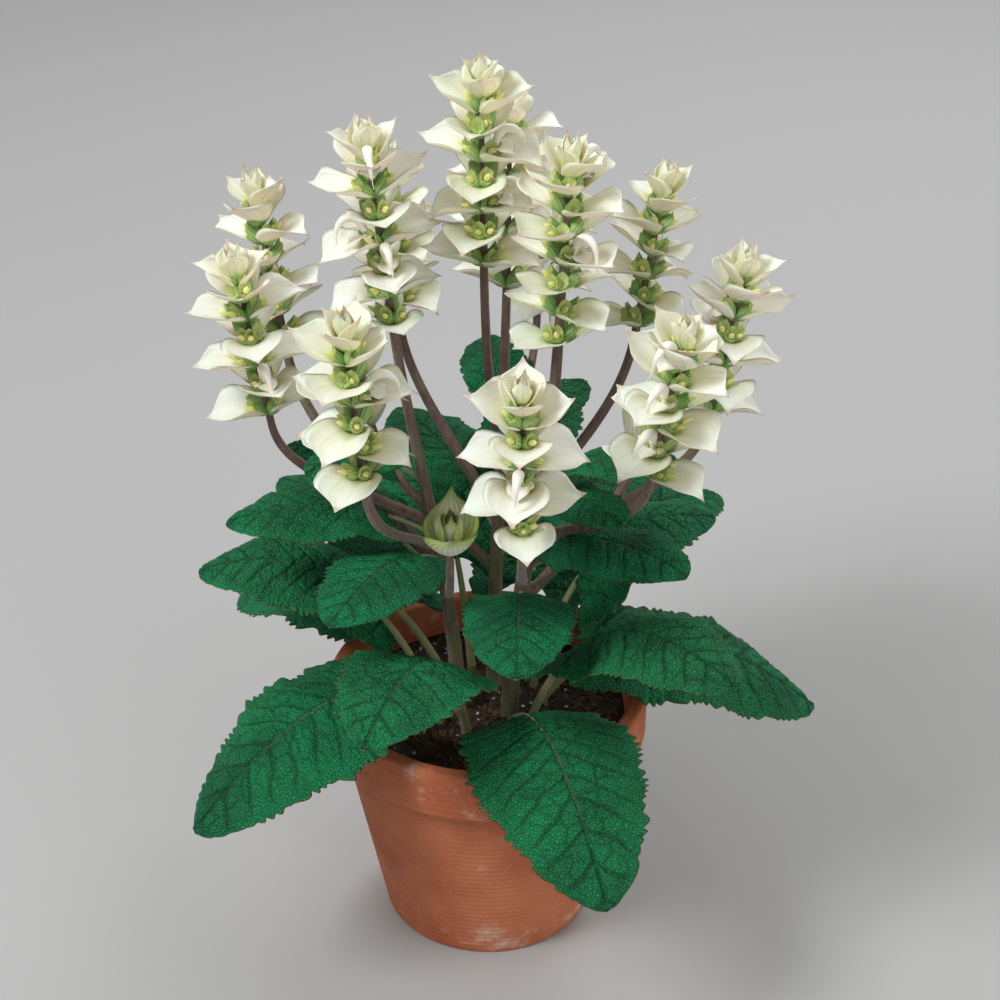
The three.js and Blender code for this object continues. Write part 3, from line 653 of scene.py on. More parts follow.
class Spike:
    """A spike's rachis, and what grows on it, in the frame of the end of its branch."""

    def __init__(self, end, pairs, seed, size=1.0, number=0):
        self.aim = end["aim"]
        self.across = right_of(end["azimuth"])
        self.forward = self.aim.cross(self.across)
        self.foot = end["top"] + self.aim * REST_GAP
        self.size = size
        self.seed = seed
        self.number = number
        self.shoot = end["kind"] == "shoot"
        self.freshness = 0.3 if chance(seed + 0.77) < 0.35 else 0.0
        self.bracts, self.calyces, self.buds, self.hoods, self.lips, self.styles = [], [], [], [], [], []
        heights = {}
        height = FIRST_PAIR_HEIGHT
        for age in reversed(range(pairs)):
            heights[age] = height
            height += by_age(PAIR_GAP, age - 1) * size if age > 0 else 0
        rachis = straight(self.foot - self.aim * 2, self.foot + self.aim * (heights[0] + 2))
        thick = RACHIS_HALF_WIDTH + (MAIN_EXTRA if end["kind"] == "main" else BRANCH_EXTRA)
        self.rachis = stalk(rachis, self.across, thick, RACHIS_TIP_HALF_WIDTH)
        for age in range(pairs):
            for side in (0, 1):
                self.grow_joint(age, side, heights[age])
        shut_pairs = SHUT_IN_SHOOT if self.shoot else SHUT_PAIRS
        for i, (rise, length, opening, bend, width) in enumerate(shut_pairs):
            for side in (0, 1):
                own = seed + 50 + 2 * i + side
                azimuth = 90 * ((i + 1) % 2) + 180 * side + vary(own, 8)
                shape = {"length": length * size, "opening": opening + vary(own + 0.3, 1), "bend": bend}
                shape.update(width=width, cup=SHUT_CUP)
                self.bracts.append(self.scoop(azimuth, heights[0] + rise, shape, own, 1.0, 0.7))
        self.add_pod(self.buds, 0, heights[0] + 3, 4, 9 * size, 1.2 * size, seed + 60)

    def directions(self, azimuth):
        turn = math.radians(azimuth)
        outward = self.across * math.cos(turn) + self.forward * math.sin(turn)
        right = self.across * math.sin(turn) - self.forward * math.cos(turn)
        return right, outward

    def grow_joint(self, age, side, height):
        own = self.seed + 10 * age + side
        azimuth = 90 * (age % 2) + 180 * side + vary(own, 7) + vary(own + 0.83, 0 if self.shoot else 8)
        opening = by_age(SHOOT_OPENING if self.shoot else BRACT_OPENING, age)
        bend = by_age(SHOOT_BEND if self.shoot else BRACT_BEND, age)
        shape = {
            "opening": opening + vary(own + 0.3, 2 if age < 1 else 6),
            "length": by_age(BRACT_LENGTH, age) * self.size * (1 + vary(own + 0.6, 0.07)),
            "bend": bend + vary(own + 0.9, 3 if age < 1 else 12),
        }
        if self.shoot:
            shape.update(width=SHOOT_WIDTH[age], cup=SHOOT_CUP[age])
        youth = 1.0 if self.shoot else max(0.0, 0.75 - 0.35 * age)
        self.bracts.append(self.scoop(azimuth, height, shape, own, youth))
        if self.shoot or age < 1:
            return
        in_flower = self.number in FLOWERING_SPIKES
        outer = 0 if age % 2 else self.number % 2
        first = age == 2 + self.number % 2 and side == round(chance(self.seed)) and in_flower
        second = age == 4 + self.number // 2 % 2 and side == outer
        third = age == 6 and side == round(chance(self.seed + 0.5)) and in_flower
        flowering = first or second or third
        for i, way in enumerate((-1, 0, 1)):
            if way == 0 and (flowering or chance(own + 0.11) < 0.3):
                continue
            self.add_calyx(azimuth, height, shape["opening"], way, age, own + 0.01 * i)
        if flowering:
            self.add_flower(azimuth, height, own)

    def scoop(self, azimuth, height, shape, own, youth, root=1.2, **other):
        """A bract or a lip, which leaves the rachis root mm from its axis."""
        right, outward = self.directions(azimuth)
        curl = 0.12 * (0.3 + chance(own + 0.43)) * (1 if chance(own + 0.53) < 0.5 else -0.9)
        young_curl = 0.08 if self.shoot else 0.13 + vary(own + 0.43, 0.08)
        made = dict(
            origin=(self.foot + self.aim * height) * MM,
            right=right,
            outward=outward,
            up=self.aim,
            length=shape["length"] * MM,
            opening=math.radians(shape["opening"]),
            turn=math.radians(shape["bend"] if abs(shape["bend"]) >= 1 else 1),
            root=root * MM,
            width=shape.get("width", 0.96 + vary(own + 0.13, 0.07) - 0.28 * youth),
            cup=shape.get("cup", 1.12 + vary(own + 0.23, 0.18) - 0.1 * youth),
            phase=6.28 * chance(own + 0.33),
            curl=curl * (1 - youth) - young_curl * youth,
            sway=vary(own + 0.63, 0.07),
            tint=chance(own + 0.73),
            youth=min(1.0, youth + self.freshness),
        )
        return {**made, **other}

    def add_pod(self, pods, azimuth, height, lean, length, radius, own, start=0.0, offset=(0.0, 0.0)):
        """A pod that leans out from the rachis at an azimuth. start is how far along its own axis it begins."""
        right, outward = self.directions(azimuth)
        slope = math.radians(lean)
        axis = outward * math.sin(slope) + self.aim * math.cos(slope)
        above = self.aim * math.sin(slope) - outward * math.cos(slope)
        origin = self.foot + self.aim * (height + offset[1]) + outward * offset[0] + axis * start
        sizes = dict(length=length * MM, radius=radius * MM, tint=chance(own + 0.2), youth=0.0)
        pods.append(dict(origin=origin * MM, axis=axis, right=right, above=above, **sizes))

    def add_calyx(self, azimuth, height, opening, way, age, own):
        grown = 0.62 if age == 1 else 1.0
        lean = opening - CALYX_LIFT + vary(own + 0.15, 5) + (4 if way == 0 else -4)
        turned = azimuth + way * (33 + vary(own + 0.25, 5))
        length = (12.5 + vary(own + 0.35, 1)) * grown
        radius = (3.9 + vary(own + 0.45, 0.3)) * grown
        offset = (0.8, 0.6 + vary(own + 0.35, 0.4))
        self.add_pod(self.calyces, turned, height, lean, length, radius, own, 0.0, offset)
        bud = (9.5 + vary(own + 0.55, 2)) * grown
        if chance(own + 0.65) < 0.75:
            start = length * 0.66
            self.add_pod(self.buds, turned, height, lean + 4, bud, 1.9 * grown, own + 0.5, start, offset)

    def add_flower(self, azimuth, height, own):
        """A sickle-shaped hood that arches up and out of its calyx, a cream lip below it and a thin style."""
        right, outward = self.directions(azimuth)

        def at(out, up, side=0.0):
            return self.foot + self.aim * (height + up) + outward * out + right * side

        self.add_pod(self.calyces, azimuth, height, 48, 13, 4.0, own + 0.3, 0.0, (0.8, 0.6))
        lower = (at(3, 3), at(6.5, 8), at(8, 12), at(9.5, 15.5))
        upper = (at(9.5, 15.5), at(12, 27), at(28, 27), at(27, 10))
        self.hoods.append(stalk(lower, right, 1.5, 2.4))
        self.hoods.append(stalk(upper, right, 2.4, 0.7, flat=0.85, bulge=0.85))
        self.styles.append(stalk((at(27, 11), at(27, 8), at(28.5, 6), at(31.5, 5.5)), right, 0.3, 0.14))
        for side in (-1, 1):
            path = (at(12, 15, side * 0.8), at(16, 17, side), at(21, 17, side), at(23, 13, side * 1.2))
            self.styles.append(stalk(path, right, 0.22, 0.2))
        lip = {"length": 14, "opening": 78, "bend": 38}
        self.add_lip(azimuth, height + 8.5, lip, own, 0.95)
        for side in (-1, 1):
            wing = {"length": 7.5, "opening": 70, "bend": 30}
            self.add_lip(azimuth + side * 30, height + 9.5, wing, own + 0.1 * side, 0.75)

    def add_lip(self, azimuth, height, shape, own, width):
        self.lips.append(self.scoop(azimuth, height, shape, own, 0.0, 7, width=width, cup=1.15, curl=0.0))


def quadratic_part(points, far):
    """The part of a quadratic curve from its start to far, as a cubic curve."""
    start, middle, end = points
    bend = start.lerp(middle, far)
    stop = bend.lerp(middle.lerp(end, far), far)
    return (start, start.lerp(bend, 2 / 3), stop.lerp(bend, 2 / 3), stop)


def basal_leaf(i):
    """The leaves of the rosette are by turns low and high."""
    low = i % 2 == 0
    reach, drop = vary(i + 4.2, 10), vary(i + 4.4, 8)
    far = [(106, 104), (232 + reach, -6 + drop)] if low else [(84, 146), (196 + reach, 98 + drop)]
    return dict(
        foot=Vector((0, 0, COMPOST_TOP + BASAL_START)),
        azimuth=12 + (360 / BASAL_LEAVES) * i + vary(i + 4.1, 4),
        path=[(BASAL_ROOT_RADIUS, 0), *far],
        blade_start=0.3,
        width=104 if low else 86,
        droop=12 if low else 7,
        ripple=6,
        phase=2 * i,
        stalk=3.2,
        tint=chance(i + 7.3),
    )


def stem_leaf(axis, share, azimuth, size, seed):
    end = ((128 + vary(seed, 8)) * size, (32 + vary(seed + 0.7, 10)) * size)
    return dict(
        foot=on_cubic(axis["curve"], share),
        azimuth=azimuth + vary(seed + 0.5, 5),
        path=[(0, 0), (52 * size, 46 * size), end],
        blade_start=0.28,
        width=66 * size,
        droop=6 * size,
        ripple=4 * size,
        phase=3 * seed,
        stalk=1.9,
        tint=chance(seed + 0.9),
    )


def midrib_of(leaf):
    return [leaf["foot"] + radial(leaf["azimuth"], out, up) for out, up in leaf["path"]]


def leaf_point(leaf):
    """What the leaf tree needs to know of a leaf."""
    start, middle, end = midrib_of(leaf)
    length = ((end - middle).length + (middle - start).length) * (1 - leaf["blade_start"])
    points = dict(origin=start * MM, middle=middle * MM, end=end * MM, across=right_of(leaf["azimuth"]))
    sizes = {name: leaf[name] * MM for name in ("width", "droop", "ripple")}
    shares = {name: leaf[name] for name in ("blade_start", "phase", "tint")}
    return {**points, **sizes, **shares, "length": length * MM, "youth": 0.0}


def stalks_of(leaf, rooted):
    """A leaf's stalk, which thins into the midrib under the blade, and the part of it in the compost."""
    across, thick = right_of(leaf["azimuth"]), leaf["stalk"]
    points = midrib_of(leaf)
    start, middle, end = points
    ways = (middle - start, end - start, end - middle)
    placed_points = zip(points, ways, MIDRIB_DEPTHS)
    midrib = [point - across.cross(way).normalized() * deep for point, way, deep in placed_points]
    join = leaf["blade_start"] + STALK_OVERLAP
    made = [stalk(quadratic_part(midrib, MIDRIB_END), across, thick * 0.62, 0.3, tint=0.4)]
    made.append(stalk(quadratic_part(midrib, join), across, thick, thick * 0.45, flat=0.9))
    if rooted:
        root = Vector((midrib[0].x, midrib[0].y, COMPOST_TOP - ROOT_DEPTH))
        made.append(stalk(straight(root, midrib[0] + UP * 2), across, thick, thick))
    return made


# ---------------------------------------------------------------------------------------------------------------
# Materials


def material(name, paint=None, **fixed):
    """A Principled material. paint gives what varies over the surface, and fixed what doesn't."""
    made = bpy.data.materials.new(name)
    made.use_nodes = True
    shader = made.node_tree.nodes["Principled BSDF"]
    for socket, value in fixed.items():
        shader.inputs[socket.replace("_", " ")].default_value = value
    if paint:
        for socket, wire in paint(Graph(made.node_tree)).items():
            made.node_tree.links.new(wire.socket, shader.inputs[socket])
    return made


def fired_clay(graph):
    where = graph.place()
    z = graph.split(where)[2]
    broad = graph.noise(where, 16.0, 4.0)
    fine = graph.noise(where, 520.0, 3.0)
    bloom = graph.noise(where, 34.0, 5.0, 0.65)
    rings = sine(z * (2 * math.pi / 0.0046) + 5 * broad)
    near_foot, near_rim = graph.ease(z, 0.05, 0.005), graph.ease(z, 0.12, 0.17)
    salt = graph.ease(bloom + 0.10 * near_foot + 0.06 * near_rim, 0.6, 0.78)
    colour = graph.paint(
        graph.ease(broad, 0.3, 0.7),
        (176, 92, 58),
        (203, 122, 84),
        (graph.ease(fine, 0.55, 0.8) * 0.5, (222, 160, 122)),
        (graph.ease(fine, 0.42, 0.2) * 0.5, (126, 64, 42)),
        (salt * 0.55, (228, 206, 188)),
    )
    height = fine * 0.5 + broad * 0.6 + rings * 0.22 + salt * 0.2
    return graph.surface(colour, 0.78 + 0.16 * fine, height, 0.0006, 0.7)


def damp_compost(graph):
    where = graph.place()
    clods = graph.noise(where, 150.0, 6.0, 0.7)
    fibres = graph.noise(where, 620.0, 3.0)
    strands = (graph.ease(fibres, 0.62, 0.75) * 0.6, (116, 90, 64))
    colour = graph.paint(graph.ease(clods, 0.35, 0.7), (30, 21, 15), (72, 52, 38), strands)
    return graph.surface(colour, 0.8 + 0.15 * fibres, clods + fibres * 0.3, 0.002)


def bark(graph):
    grain = graph.noise(graph.place(), 420.0, 4.0)
    streaks = (graph.ease(grain, 0.5, 0.75) * 0.5, (140, 108, 76))
    colour = graph.paint(graph.carried("tint"), (40, 27, 19), (108, 76, 50), streaks)
    return graph.surface(colour, 0.75 + 0.2 * grain, grain, 0.0008)


def white_grit(graph):
    pits = graph.noise(graph.place(), 900.0, 3.0)
    colour = graph.paint(graph.ease(pits, 0.35, 0.65), (196, 190, 178), (240, 238, 230))
    return graph.surface(colour, 0.8 + 0.15 * pits, pits, 0.0006)


def downy_stem(graph):
    """Purple brown, greener low down, with pale specks of down."""
    where = graph.place()
    x, y, z = graph.split(where)
    streaks = graph.noise(graph.join(x * 5, y * 5, z), 60.0, 2.0)
    broad = graph.noise(where, 22.0, 2.0)
    specks = graph.noise(where, 900.0, 2.0)
    streaky = graph.ease(streaks, 0.3, 0.7)
    colour = graph.paint(
        streaky,
        (98, 74, 68),
        (124, 98, 88),
        (
            graph.ease(z, 0.34, 0.18) * 0.5 + graph.ease(broad, 0.5, 0.7) * 0.4,
            graph.paint(streaky, (104, 112, 72), (122, 126, 84)),
        ),
        (graph.ease(specks, 0.62, 0.8) * 0.35, (176, 160, 148)),
    )
    return graph.surface(colour, 0.55 + 0.25 * specks, streaks * 0.3 + specks * 0.5, 0.00015, 0.5)


def leaf_stalk(graph):
    where = graph.place()
    specks = graph.noise(where, 700.0, 3.0)
    broad = graph.noise(where, 45.0, 2.0)
    down = (graph.ease(specks, 0.6, 0.8) * 0.5, (196, 190, 160))
    colour = graph.paint(graph.ease(broad, 0.35, 0.65), (126, 146, 92), (168, 166, 124), down)
    return graph.surface(colour, 0.6 + 0.2 * specks, specks, 0.0004, 0.6)


def bract_paper(graph):
    """Near white, with a green foot, a thin green margin, faint veins that run together and a pink-brown tip."""
    s, v, side = graph.split(graph.carried("local", "Vector"))
    tint, youth = graph.carried("tint"), graph.carried("youth")
    cloud = graph.noise(graph.place(), 90.0, 3.0)
    edge = size_of(s)
    veins = cosine(s * 15 * (1 - 0.35 * v) + 2.2 * cloud)
    fine_veins = graph.ease(veins, 0.8, 1.0)
    under = graph.ease(side, 0.1, -0.1)
    cream = graph.ease(v + 0.3 * tint, 0.95, 0.25) * (0.1 + 0.45 * tint)
    foot = graph.ease(v + 0.35 * edge - 0.16 * cloud, 0.38, 0.1)
    tip = graph.ease(v + 0.03 * tint + 0.06 * (cloud - 0.5), 0.85, 0.97)
    lime = graph.paint(fine_veins * 0.7, (220, 226, 158), (150, 182, 88))
    colour = graph.paint(
        graph.ease(cloud, 0.3, 0.7),
        (249, 241, 230),
        (254, 249, 241),
        (cream, (242, 235, 208)),
        (foot * 0.85, (132, 174, 88)),
        (fine_veins * (0.09 + 0.2 * under) * graph.ease(v, 0.98, 0.5), (192, 180, 146)),
        (graph.ease(edge + 0.05 * cloud, 0.94, 1.0) * 0.5, (204, 216, 140)),
        (under * 0.2, (226, 218, 190)),
        (youth * (0.25 + 0.5 * graph.ease(v, 0.8, 0.1)), lime),
        (tip * 0.7, (208, 166, 146)),
    )
    return graph.surface(colour, 0.42 + 0.2 * cloud, veins * 0.5 + cloud * 0.6, 0.00035, 0.55)


def shoot_bract(graph):
    """A shut young bract, lime and cream, with strong green veins."""
    s, v, _ = graph.split(graph.carried("local", "Vector"))
    cloud = graph.noise(graph.place(), 80.0, 3.0)
    ribs = cosine(s * 44 * (1 - 0.2 * v) + 3.0 * cloud)
    middle = graph.ease(size_of(s) + 0.3 * cloud, 0.9, 0.35) * graph.ease(v, 0.95, 0.6)
    vein = graph.paint(middle, (140, 174, 82), (184, 160, 124))
    colour = graph.paint(
        middle,
        (202, 218, 136),
        (248, 243, 230),
        (graph.carried("tint") * 0.25, (200, 218, 130)),
        (graph.ease(ribs, 0.45, 1.0) * (0.24 + 0.24 * v), vein),
        (graph.ease(size_of(s), 0.86, 1.0) * 0.6, (148, 186, 84)),
        (graph.ease(v, 0.9, 0.99) * 0.7, (200, 156, 128)),
    )
    return graph.surface(colour, 0.45 + 0.2 * cloud, cloud * 0.5 - ribs * 0.4, 0.0006, 0.8)


def ribbed_calyx(graph):
    x, y, v = graph.split(graph.carried("local", "Vector"))
    cloud = graph.noise(graph.place(), 300.0, 3.0)
    ribs = cosine(13 * graph.maths("ARCTAN2", y, x))
    colour = graph.paint(
        graph.carried("tint"),
        (134, 176, 96),
        (178, 206, 134),
        (graph.ease(ribs, 0.2, 1.0) * 0.35, (92, 142, 62)),
        (graph.ease(v, 0.35, 0.0) * 0.6, (204, 214, 156)),
        (graph.ease(v, 0.93, 1.0) * 0.5, (214, 212, 142)),
    )
    return graph.surface(colour, 0.5 + 0.2 * cloud, ribs * 0.6 + cloud, 0.0004, 0.6)


def corolla_bud(graph):
    v = graph.split(graph.carried("local", "Vector"))[2]
    cloud = graph.noise(graph.place(), 400.0, 2.0)
    foot = (graph.ease(v, 0.5, 0.0) * 0.6, (170, 196, 100))
    tip = (graph.ease(v, 0.75, 1.0) * 0.4, (246, 240, 190))
    colour = graph.paint(graph.carried("tint"), (214, 220, 128), (238, 234, 158), foot, tip)
    return graph.surface(colour, 0.42 + 0.2 * cloud, cloud, 0.0003, 0.5)


def petal(graph):
    cloud = graph.noise(graph.place(), 240.0, 3.0)
    cream = (graph.ease(graph.carried("tint"), 0.4, 1.0) * 0.25, (240, 230, 186))
    colour = graph.paint(graph.ease(cloud, 0.3, 0.7), (250, 247, 240), (244, 238, 224), cream)
    return graph.surface(colour, 0.4 + 0.2 * cloud, cloud, 0.0004, 0.5)


def wrinkled_leaf(graph):
    """Deep green and pebbled, with painted shade in the sunk veins and in the cracks between pebbles, a painted
    highlight on the pebbles' crests, a paler midrib, tan teeth and a greyer under side.
    """
    s, v, side = graph.split(graph.carried("local", "Vector"))
    where = graph.place()
    edge = size_of(s)
    broad = graph.noise(where, 26.0, 3.0)
    gaps = graph.cells(where, 480.0, "DISTANCE_TO_EDGE")
    fine = graph.noise(where, 1500.0, 2.0)
    # The sunk veins and midrib, from the leaf's shape: painted shade on the upper side, pale veins on the under
    # side
    lines = graph.ease(graph.carried("furrow"), 0.15, 0.7)
    rib = graph.ease(edge + 0.02 * broad, 0.034, 0.016) * graph.ease(v, 1.0, 0.3)
    # The raised middles of the pebbles, where a lighter green is painted on as a highlight
    crest_painted_highlight = graph.ease(graph.cells(where, 480.0), 0.55, 0.1)
    # The cracks between pebbles, where a dark green is painted on as shade on the upper side
    crack = graph.ease(gaps, 0.14, 0.0)
    pale = graph.paint(lines + crack * 0.5, (104, 142, 98), (160, 178, 128))
    colour = graph.paint(
        graph.ease(broad, 0.3, 0.7),
        (4, 92, 58),
        (14, 136, 84),
        (graph.carried("tint") * 0.35, (34, 126, 58)),
        # Painted highlight on the pebbles' crests
        (crest_painted_highlight * 0.3, (34, 152, 96)),
        # Painted shade in the cracks between pebbles, then along the sunk veins and midrib
        (crack * 0.7, (6, 44, 33)),
        (lines * 0.55, (12, 54, 38)),
        (rib * 0.6, (96, 118, 84)),
        (graph.ease(edge, 0.965, 1.0) * 0.55, (122, 140, 78)),
        (graph.ease(side, 0.05, -0.05) * 0.9, pale),
    )
    height = graph.maths("MINIMUM", gaps, 0.35) * 2.2 + fine * 0.35 - lines * 0.6
    return graph.surface(colour, 0.5 + 0.25 * crack + 0.1 * fine, height, 0.0011, 0.85)


def soft_hair(graph):
    cloud = graph.noise(graph.place(), 80.0, 2.0)
    return {"Base Color": graph.paint(cloud, (214, 206, 194), (240, 236, 226)), "Roughness": 0.5 + 0.2 * cloud}


TERRACOTTA = material("terracotta", fired_clay)
COMPOST = material("damp_compost", damp_compost)
BARK = material("bark_crumbs", bark)
GRIT = material("white_grit", white_grit)
STEM = material("downy_stem", downy_stem, Sheen_Weight=0.25)
STALK = material("leaf_stalk", leaf_stalk, Sheen_Weight=0.25)
BRACT = material("bract_paper", bract_paper, Subsurface_Weight=0.35, Subsurface_Scale=0.003)
SHOOT = material("shoot_bract", shoot_bract)
CALYX = material("ribbed_calyx", ribbed_calyx)
BUD = material("corolla_bud", corolla_bud)
PETAL = material("petal", petal, Subsurface_Weight=0.2, Subsurface_Scale=0.002)
LEAF = material("wrinkled_leaf", wrinkled_leaf, Specular_IOR_Level=0.25)
HAIR = material("soft_hair", soft_hair)


# ---------------------------------------------------------------------------------------------------------------
# The plant


spikes, shoots, stems, stem_leaves = [], [], [], []
for stem in range(STEM_COUNT):
    axis = main_axis(stem)
    branches = branches_of(axis, stem)
    across = right_of(axis["azimuth"])
    stems.append(stalk(axis["curve"], across, MAIN_HALF_WIDTH, RACHIS_HALF_WIDTH + MAIN_EXTRA))
    for branch in branches:
        across = right_of(branch["azimuth"])
        stems.append(stalk(branch["curve"], across, BRANCH_HALF_WIDTH, RACHIS_HALF_WIDTH + BRANCH_EXTRA))
    for end in [axis, *branches]:
        if end["kind"] == "shoot":
            shoots.append(Spike(end, 2, 900 + stem, SHOOT_SIZE))
            continue
        number = len(spikes) + 1
        pairs = SIDE_SPIKE_PAIRS if end["kind"] == "side" else MAIN_SPIKE_PAIRS
        spikes.append(Spike(end, pairs, 100 * number, 1.0, number))
    sides = [branch["azimuth"] for branch in branches if branch["kind"] == "side"]
    places = [(share - LEAF_BELOW_BRANCH, azimuth, 1) for share, azimuth in zip(BRANCH_SHARES, sides)]
    for way in (-1, 1):
        azimuth = axis["azimuth"] + way * SIDE_SPREAD / 2
        places.append((UPPER_LEAF_SHARE + 0.03 * way, azimuth, UPPER_LEAF_SIZE))
    for share, azimuth, size in places:
        number = len(stem_leaves) + 1
        azimuth += LEAF_TURNS.get(number, 0)
        stem_leaves.append(stem_leaf(axis, share, azimuth, size, 30 + number))

basal_leaves = [basal_leaf(i) for i in range(BASAL_LEAVES)]

SCOOP = dict(Columns=11, Rows=14, Ripple=0.07, Thickness=0.45 * MM)
CUP = dict(Around=10, Steps=3, Foot=0.4, Belly=1.5, Mouth=1.0, Teeth=0.12, Lip=0.26, Hollow=0.3, Sag=0.0)
POINTED = dict(Around=6, Steps=4, Foot=0.6, Belly=1.7, Mouth=0.12, Teeth=0.0, Lip=0.0, Hollow=0.0, Sag=0.1)
SQUARE = dict(Around=24, Squareness=6.0, Groove=0.1)
ROUND = dict(Around=10, Squareness=2.0, Groove=0.0)
BLADE = dict(Thickness=0.7 * MM, Tooth=0.075, Heart=0.15)
BROAD_LEAF = dict(Columns=65, Rows=131, Teeth=24.0, Lobes=6.0, Veins=9.0)
BROAD_RELIEF = dict(Frill=2.3 * MM, Rib=1.6 * MM, Pucker=1.3 * MM, Pebble=5.0 * MM, Grain=1.2 * MM, Net=13.0 * MM)
SMALL_LEAF = dict(Columns=41, Rows=73, Teeth=16.0, Lobes=4.0, Veins=7.0)
SMALL_RELIEF = dict(Frill=1.4 * MM, Rib=1.1 * MM, Pucker=0.9 * MM, Pebble=3.6 * MM, Grain=0.8 * MM, Net=9.0 * MM)


def settle(made, slot, *nodes):
    """The piece rides on the root body and stands for its CAD nodes, which it hides. slot is not used."""
    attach(made, "root")
    if nodes:
        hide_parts(*nodes)
    return made


def numbered(prefix, last, form="{}_{:02d}"):
    return [form.format(prefix, i) for i in range(1, last + 1)]


def grown(name, places, shape, material, slot, nodes=(), **sizes):
    """Grows a piece on bare points and settles it."""
    made = grow(name, bare_points(name, places), shape, {**sizes, "Material": material})
    return settle(made, slot, *nodes)


def on_spikes(name, kind, shape, material, slot, nodes=(), plants=spikes, **sizes):
    """Grows all the pieces of a kind that the spikes bear."""
    places = [place for plant in plants for place in getattr(plant, kind)]
    return grown(name, places, shape, material, slot, nodes, **sizes)


on_spikes("bracts", "bracts", bract_shape, BRACT, "bract", numbered("spike", len(spikes)), **SCOOP)
shoot_sizes = {**SCOOP, "Columns": 17, "Rows": 15}
shoot_nodes = numbered("young_shoot", len(shoots), "{}_{}")
on_spikes("young_bracts", "bracts", bract_shape, SHOOT, "young_bract", shoot_nodes, shoots, **shoot_sizes)
on_spikes("calyces", "calyces", pod_shape, CALYX, "young_bract", **CUP)
on_spikes("corolla_buds", "buds", pod_shape, BUD, "young_bract", **POINTED)
on_spikes("flower_hoods", "hoods", stalk_shape, PETAL, "bract", **{**ROUND, "Around": 12, "Steps": 14})
on_spikes("flower_lips", "lips", bract_shape, PETAL, "bract", **{**SCOOP, "Ripple": 0.16})
on_spikes("flower_styles", "styles", stalk_shape, PETAL, "bract", **{**ROUND, "Around": 5, "Steps": 6})
grown("rachises", [plant.rachis for plant in spikes + shoots], stalk_shape, STEM, "stem", **SQUARE, Steps=12)
stem_nodes = numbered("stem", STEM_COUNT, "{}_{}")
stalks = grown("stems", stems, stalk_shape, STEM, "stem", stem_nodes, **SQUARE, Steps=40)

petioles = [part for leaf in basal_leaves for part in stalks_of(leaf, True)]
petioles += [part for leaf in stem_leaves for part in stalks_of(leaf, False)]
grown("leaf_stalks", petioles, stalk_shape, STALK, "leaf", **{**ROUND, "Squareness": 2.6}, Steps=24)

leaf_nodes = numbered("basal_leaf", BASAL_LEAVES)
for name, part in (("low_basal_leaves", 0), ("high_basal_leaves", 1)):
    places = [leaf_point(leaf) for leaf in basal_leaves[part::2]]
    grown(name, places, leaf_shape, LEAF, "leaf", leaf_nodes[part::2], **BLADE, **BROAD_LEAF, **BROAD_RELIEF)
places = [leaf_point(leaf) for leaf in stem_leaves]
leaf_nodes = numbered("stem_leaf", len(stem_leaves))
grown("stem_leaves", places, leaf_shape, LEAF, "leaf", leaf_nodes, **BLADE, **SMALL_LEAF, **SMALL_RELIEF)


# ---------------------------------------------------------------------------------------------------------------
# The pot and its compost


def lathe(name, profile, steps=LATHE_STEPS):
    """A closed body turned round the pot's axis. The profile runs from the axis to the axis, bottom first."""
    body = bmesh.new()
    rings = []
    for radius, height in profile:
        angles = [2 * math.pi * i / steps for i in range(steps if radius > 1e-6 else 1)]
        reach = radius * MM
        rings.append([body.verts.new((reach * math.cos(a), reach * math.sin(a), height * MM)) for a in angles])
    for lower, upper in zip(rings, rings[1:]):
        for i in range(steps):
            j = (i + 1) % steps
            corners = [(lower, i), (lower, j), (upper, j), (upper, i)]
            body.faces.new(list(dict.fromkeys(ring[k % len(ring)] for ring, k in corners)))
    mesh = bpy.data.meshes.new(name)
    body.to_mesh(mesh)
    body.free()
    mesh.shade_smooth()
    return placed(name, mesh)


def rounded(before, corner, after, radius, steps=5):
    """The points of a profile's corner, rounded off."""
    corner = Vector(corner)
    start = corner + (Vector(before) - corner).normalized() * radius
    stop = corner + (Vector(after) - corner).normalized() * radius
    shares = [i / steps for i in range(steps + 1)]
    return [tuple(start * (1 - t) ** 2 + corner * (2 * t * (1 - t)) + stop * t * t) for t in shares]


def subdivided(profile, longest):
    """The profile with points no farther apart than longest."""
    points = [profile[0]]
    for a, b in zip(profile, profile[1:]):
        parts = max(1, math.ceil(math.dist(a, b) / longest))
        points += [tuple(Vector(a).lerp(Vector(b), i / parts)) for i in range(1, parts + 1)]
    return points


def fill_radius(height):
    """The radius of the compost at a height."""
    inner = RIM_RADIUS - RIM_STEP - 2
    foot = FOOT_RADIUS - POT_WALL
    return foot + (inner - foot) * (height - POT_FLOOR) / (POT_HEIGHT - POT_FLOOR) - REST_GAP


def pot_profile():
    under = POT_HEIGHT - RIM_HEIGHT
    body = RIM_RADIUS - RIM_STEP
    # Each corner with its rounding
    corners = [
        ((0, 0), 0),
        ((FOOT_RADIUS, 0), 2.2),
        ((body, under), 2.5),
        ((RIM_RADIUS, under), 2.2),
        ((RIM_RADIUS, POT_HEIGHT), 3.2),
        ((body - 2, POT_HEIGHT), 2.8),
        ((FOOT_RADIUS - POT_WALL, POT_FLOOR), 5),
        ((0, POT_FLOOR), 0),
    ]
    points = []
    for i, (corner, radius) in enumerate(corners):
        if radius == 0:
            points.append(corner)
        else:
            points += rounded(corners[i - 1][0], corner, corners[i + 1][0], radius)
    return subdivided(points, 7)


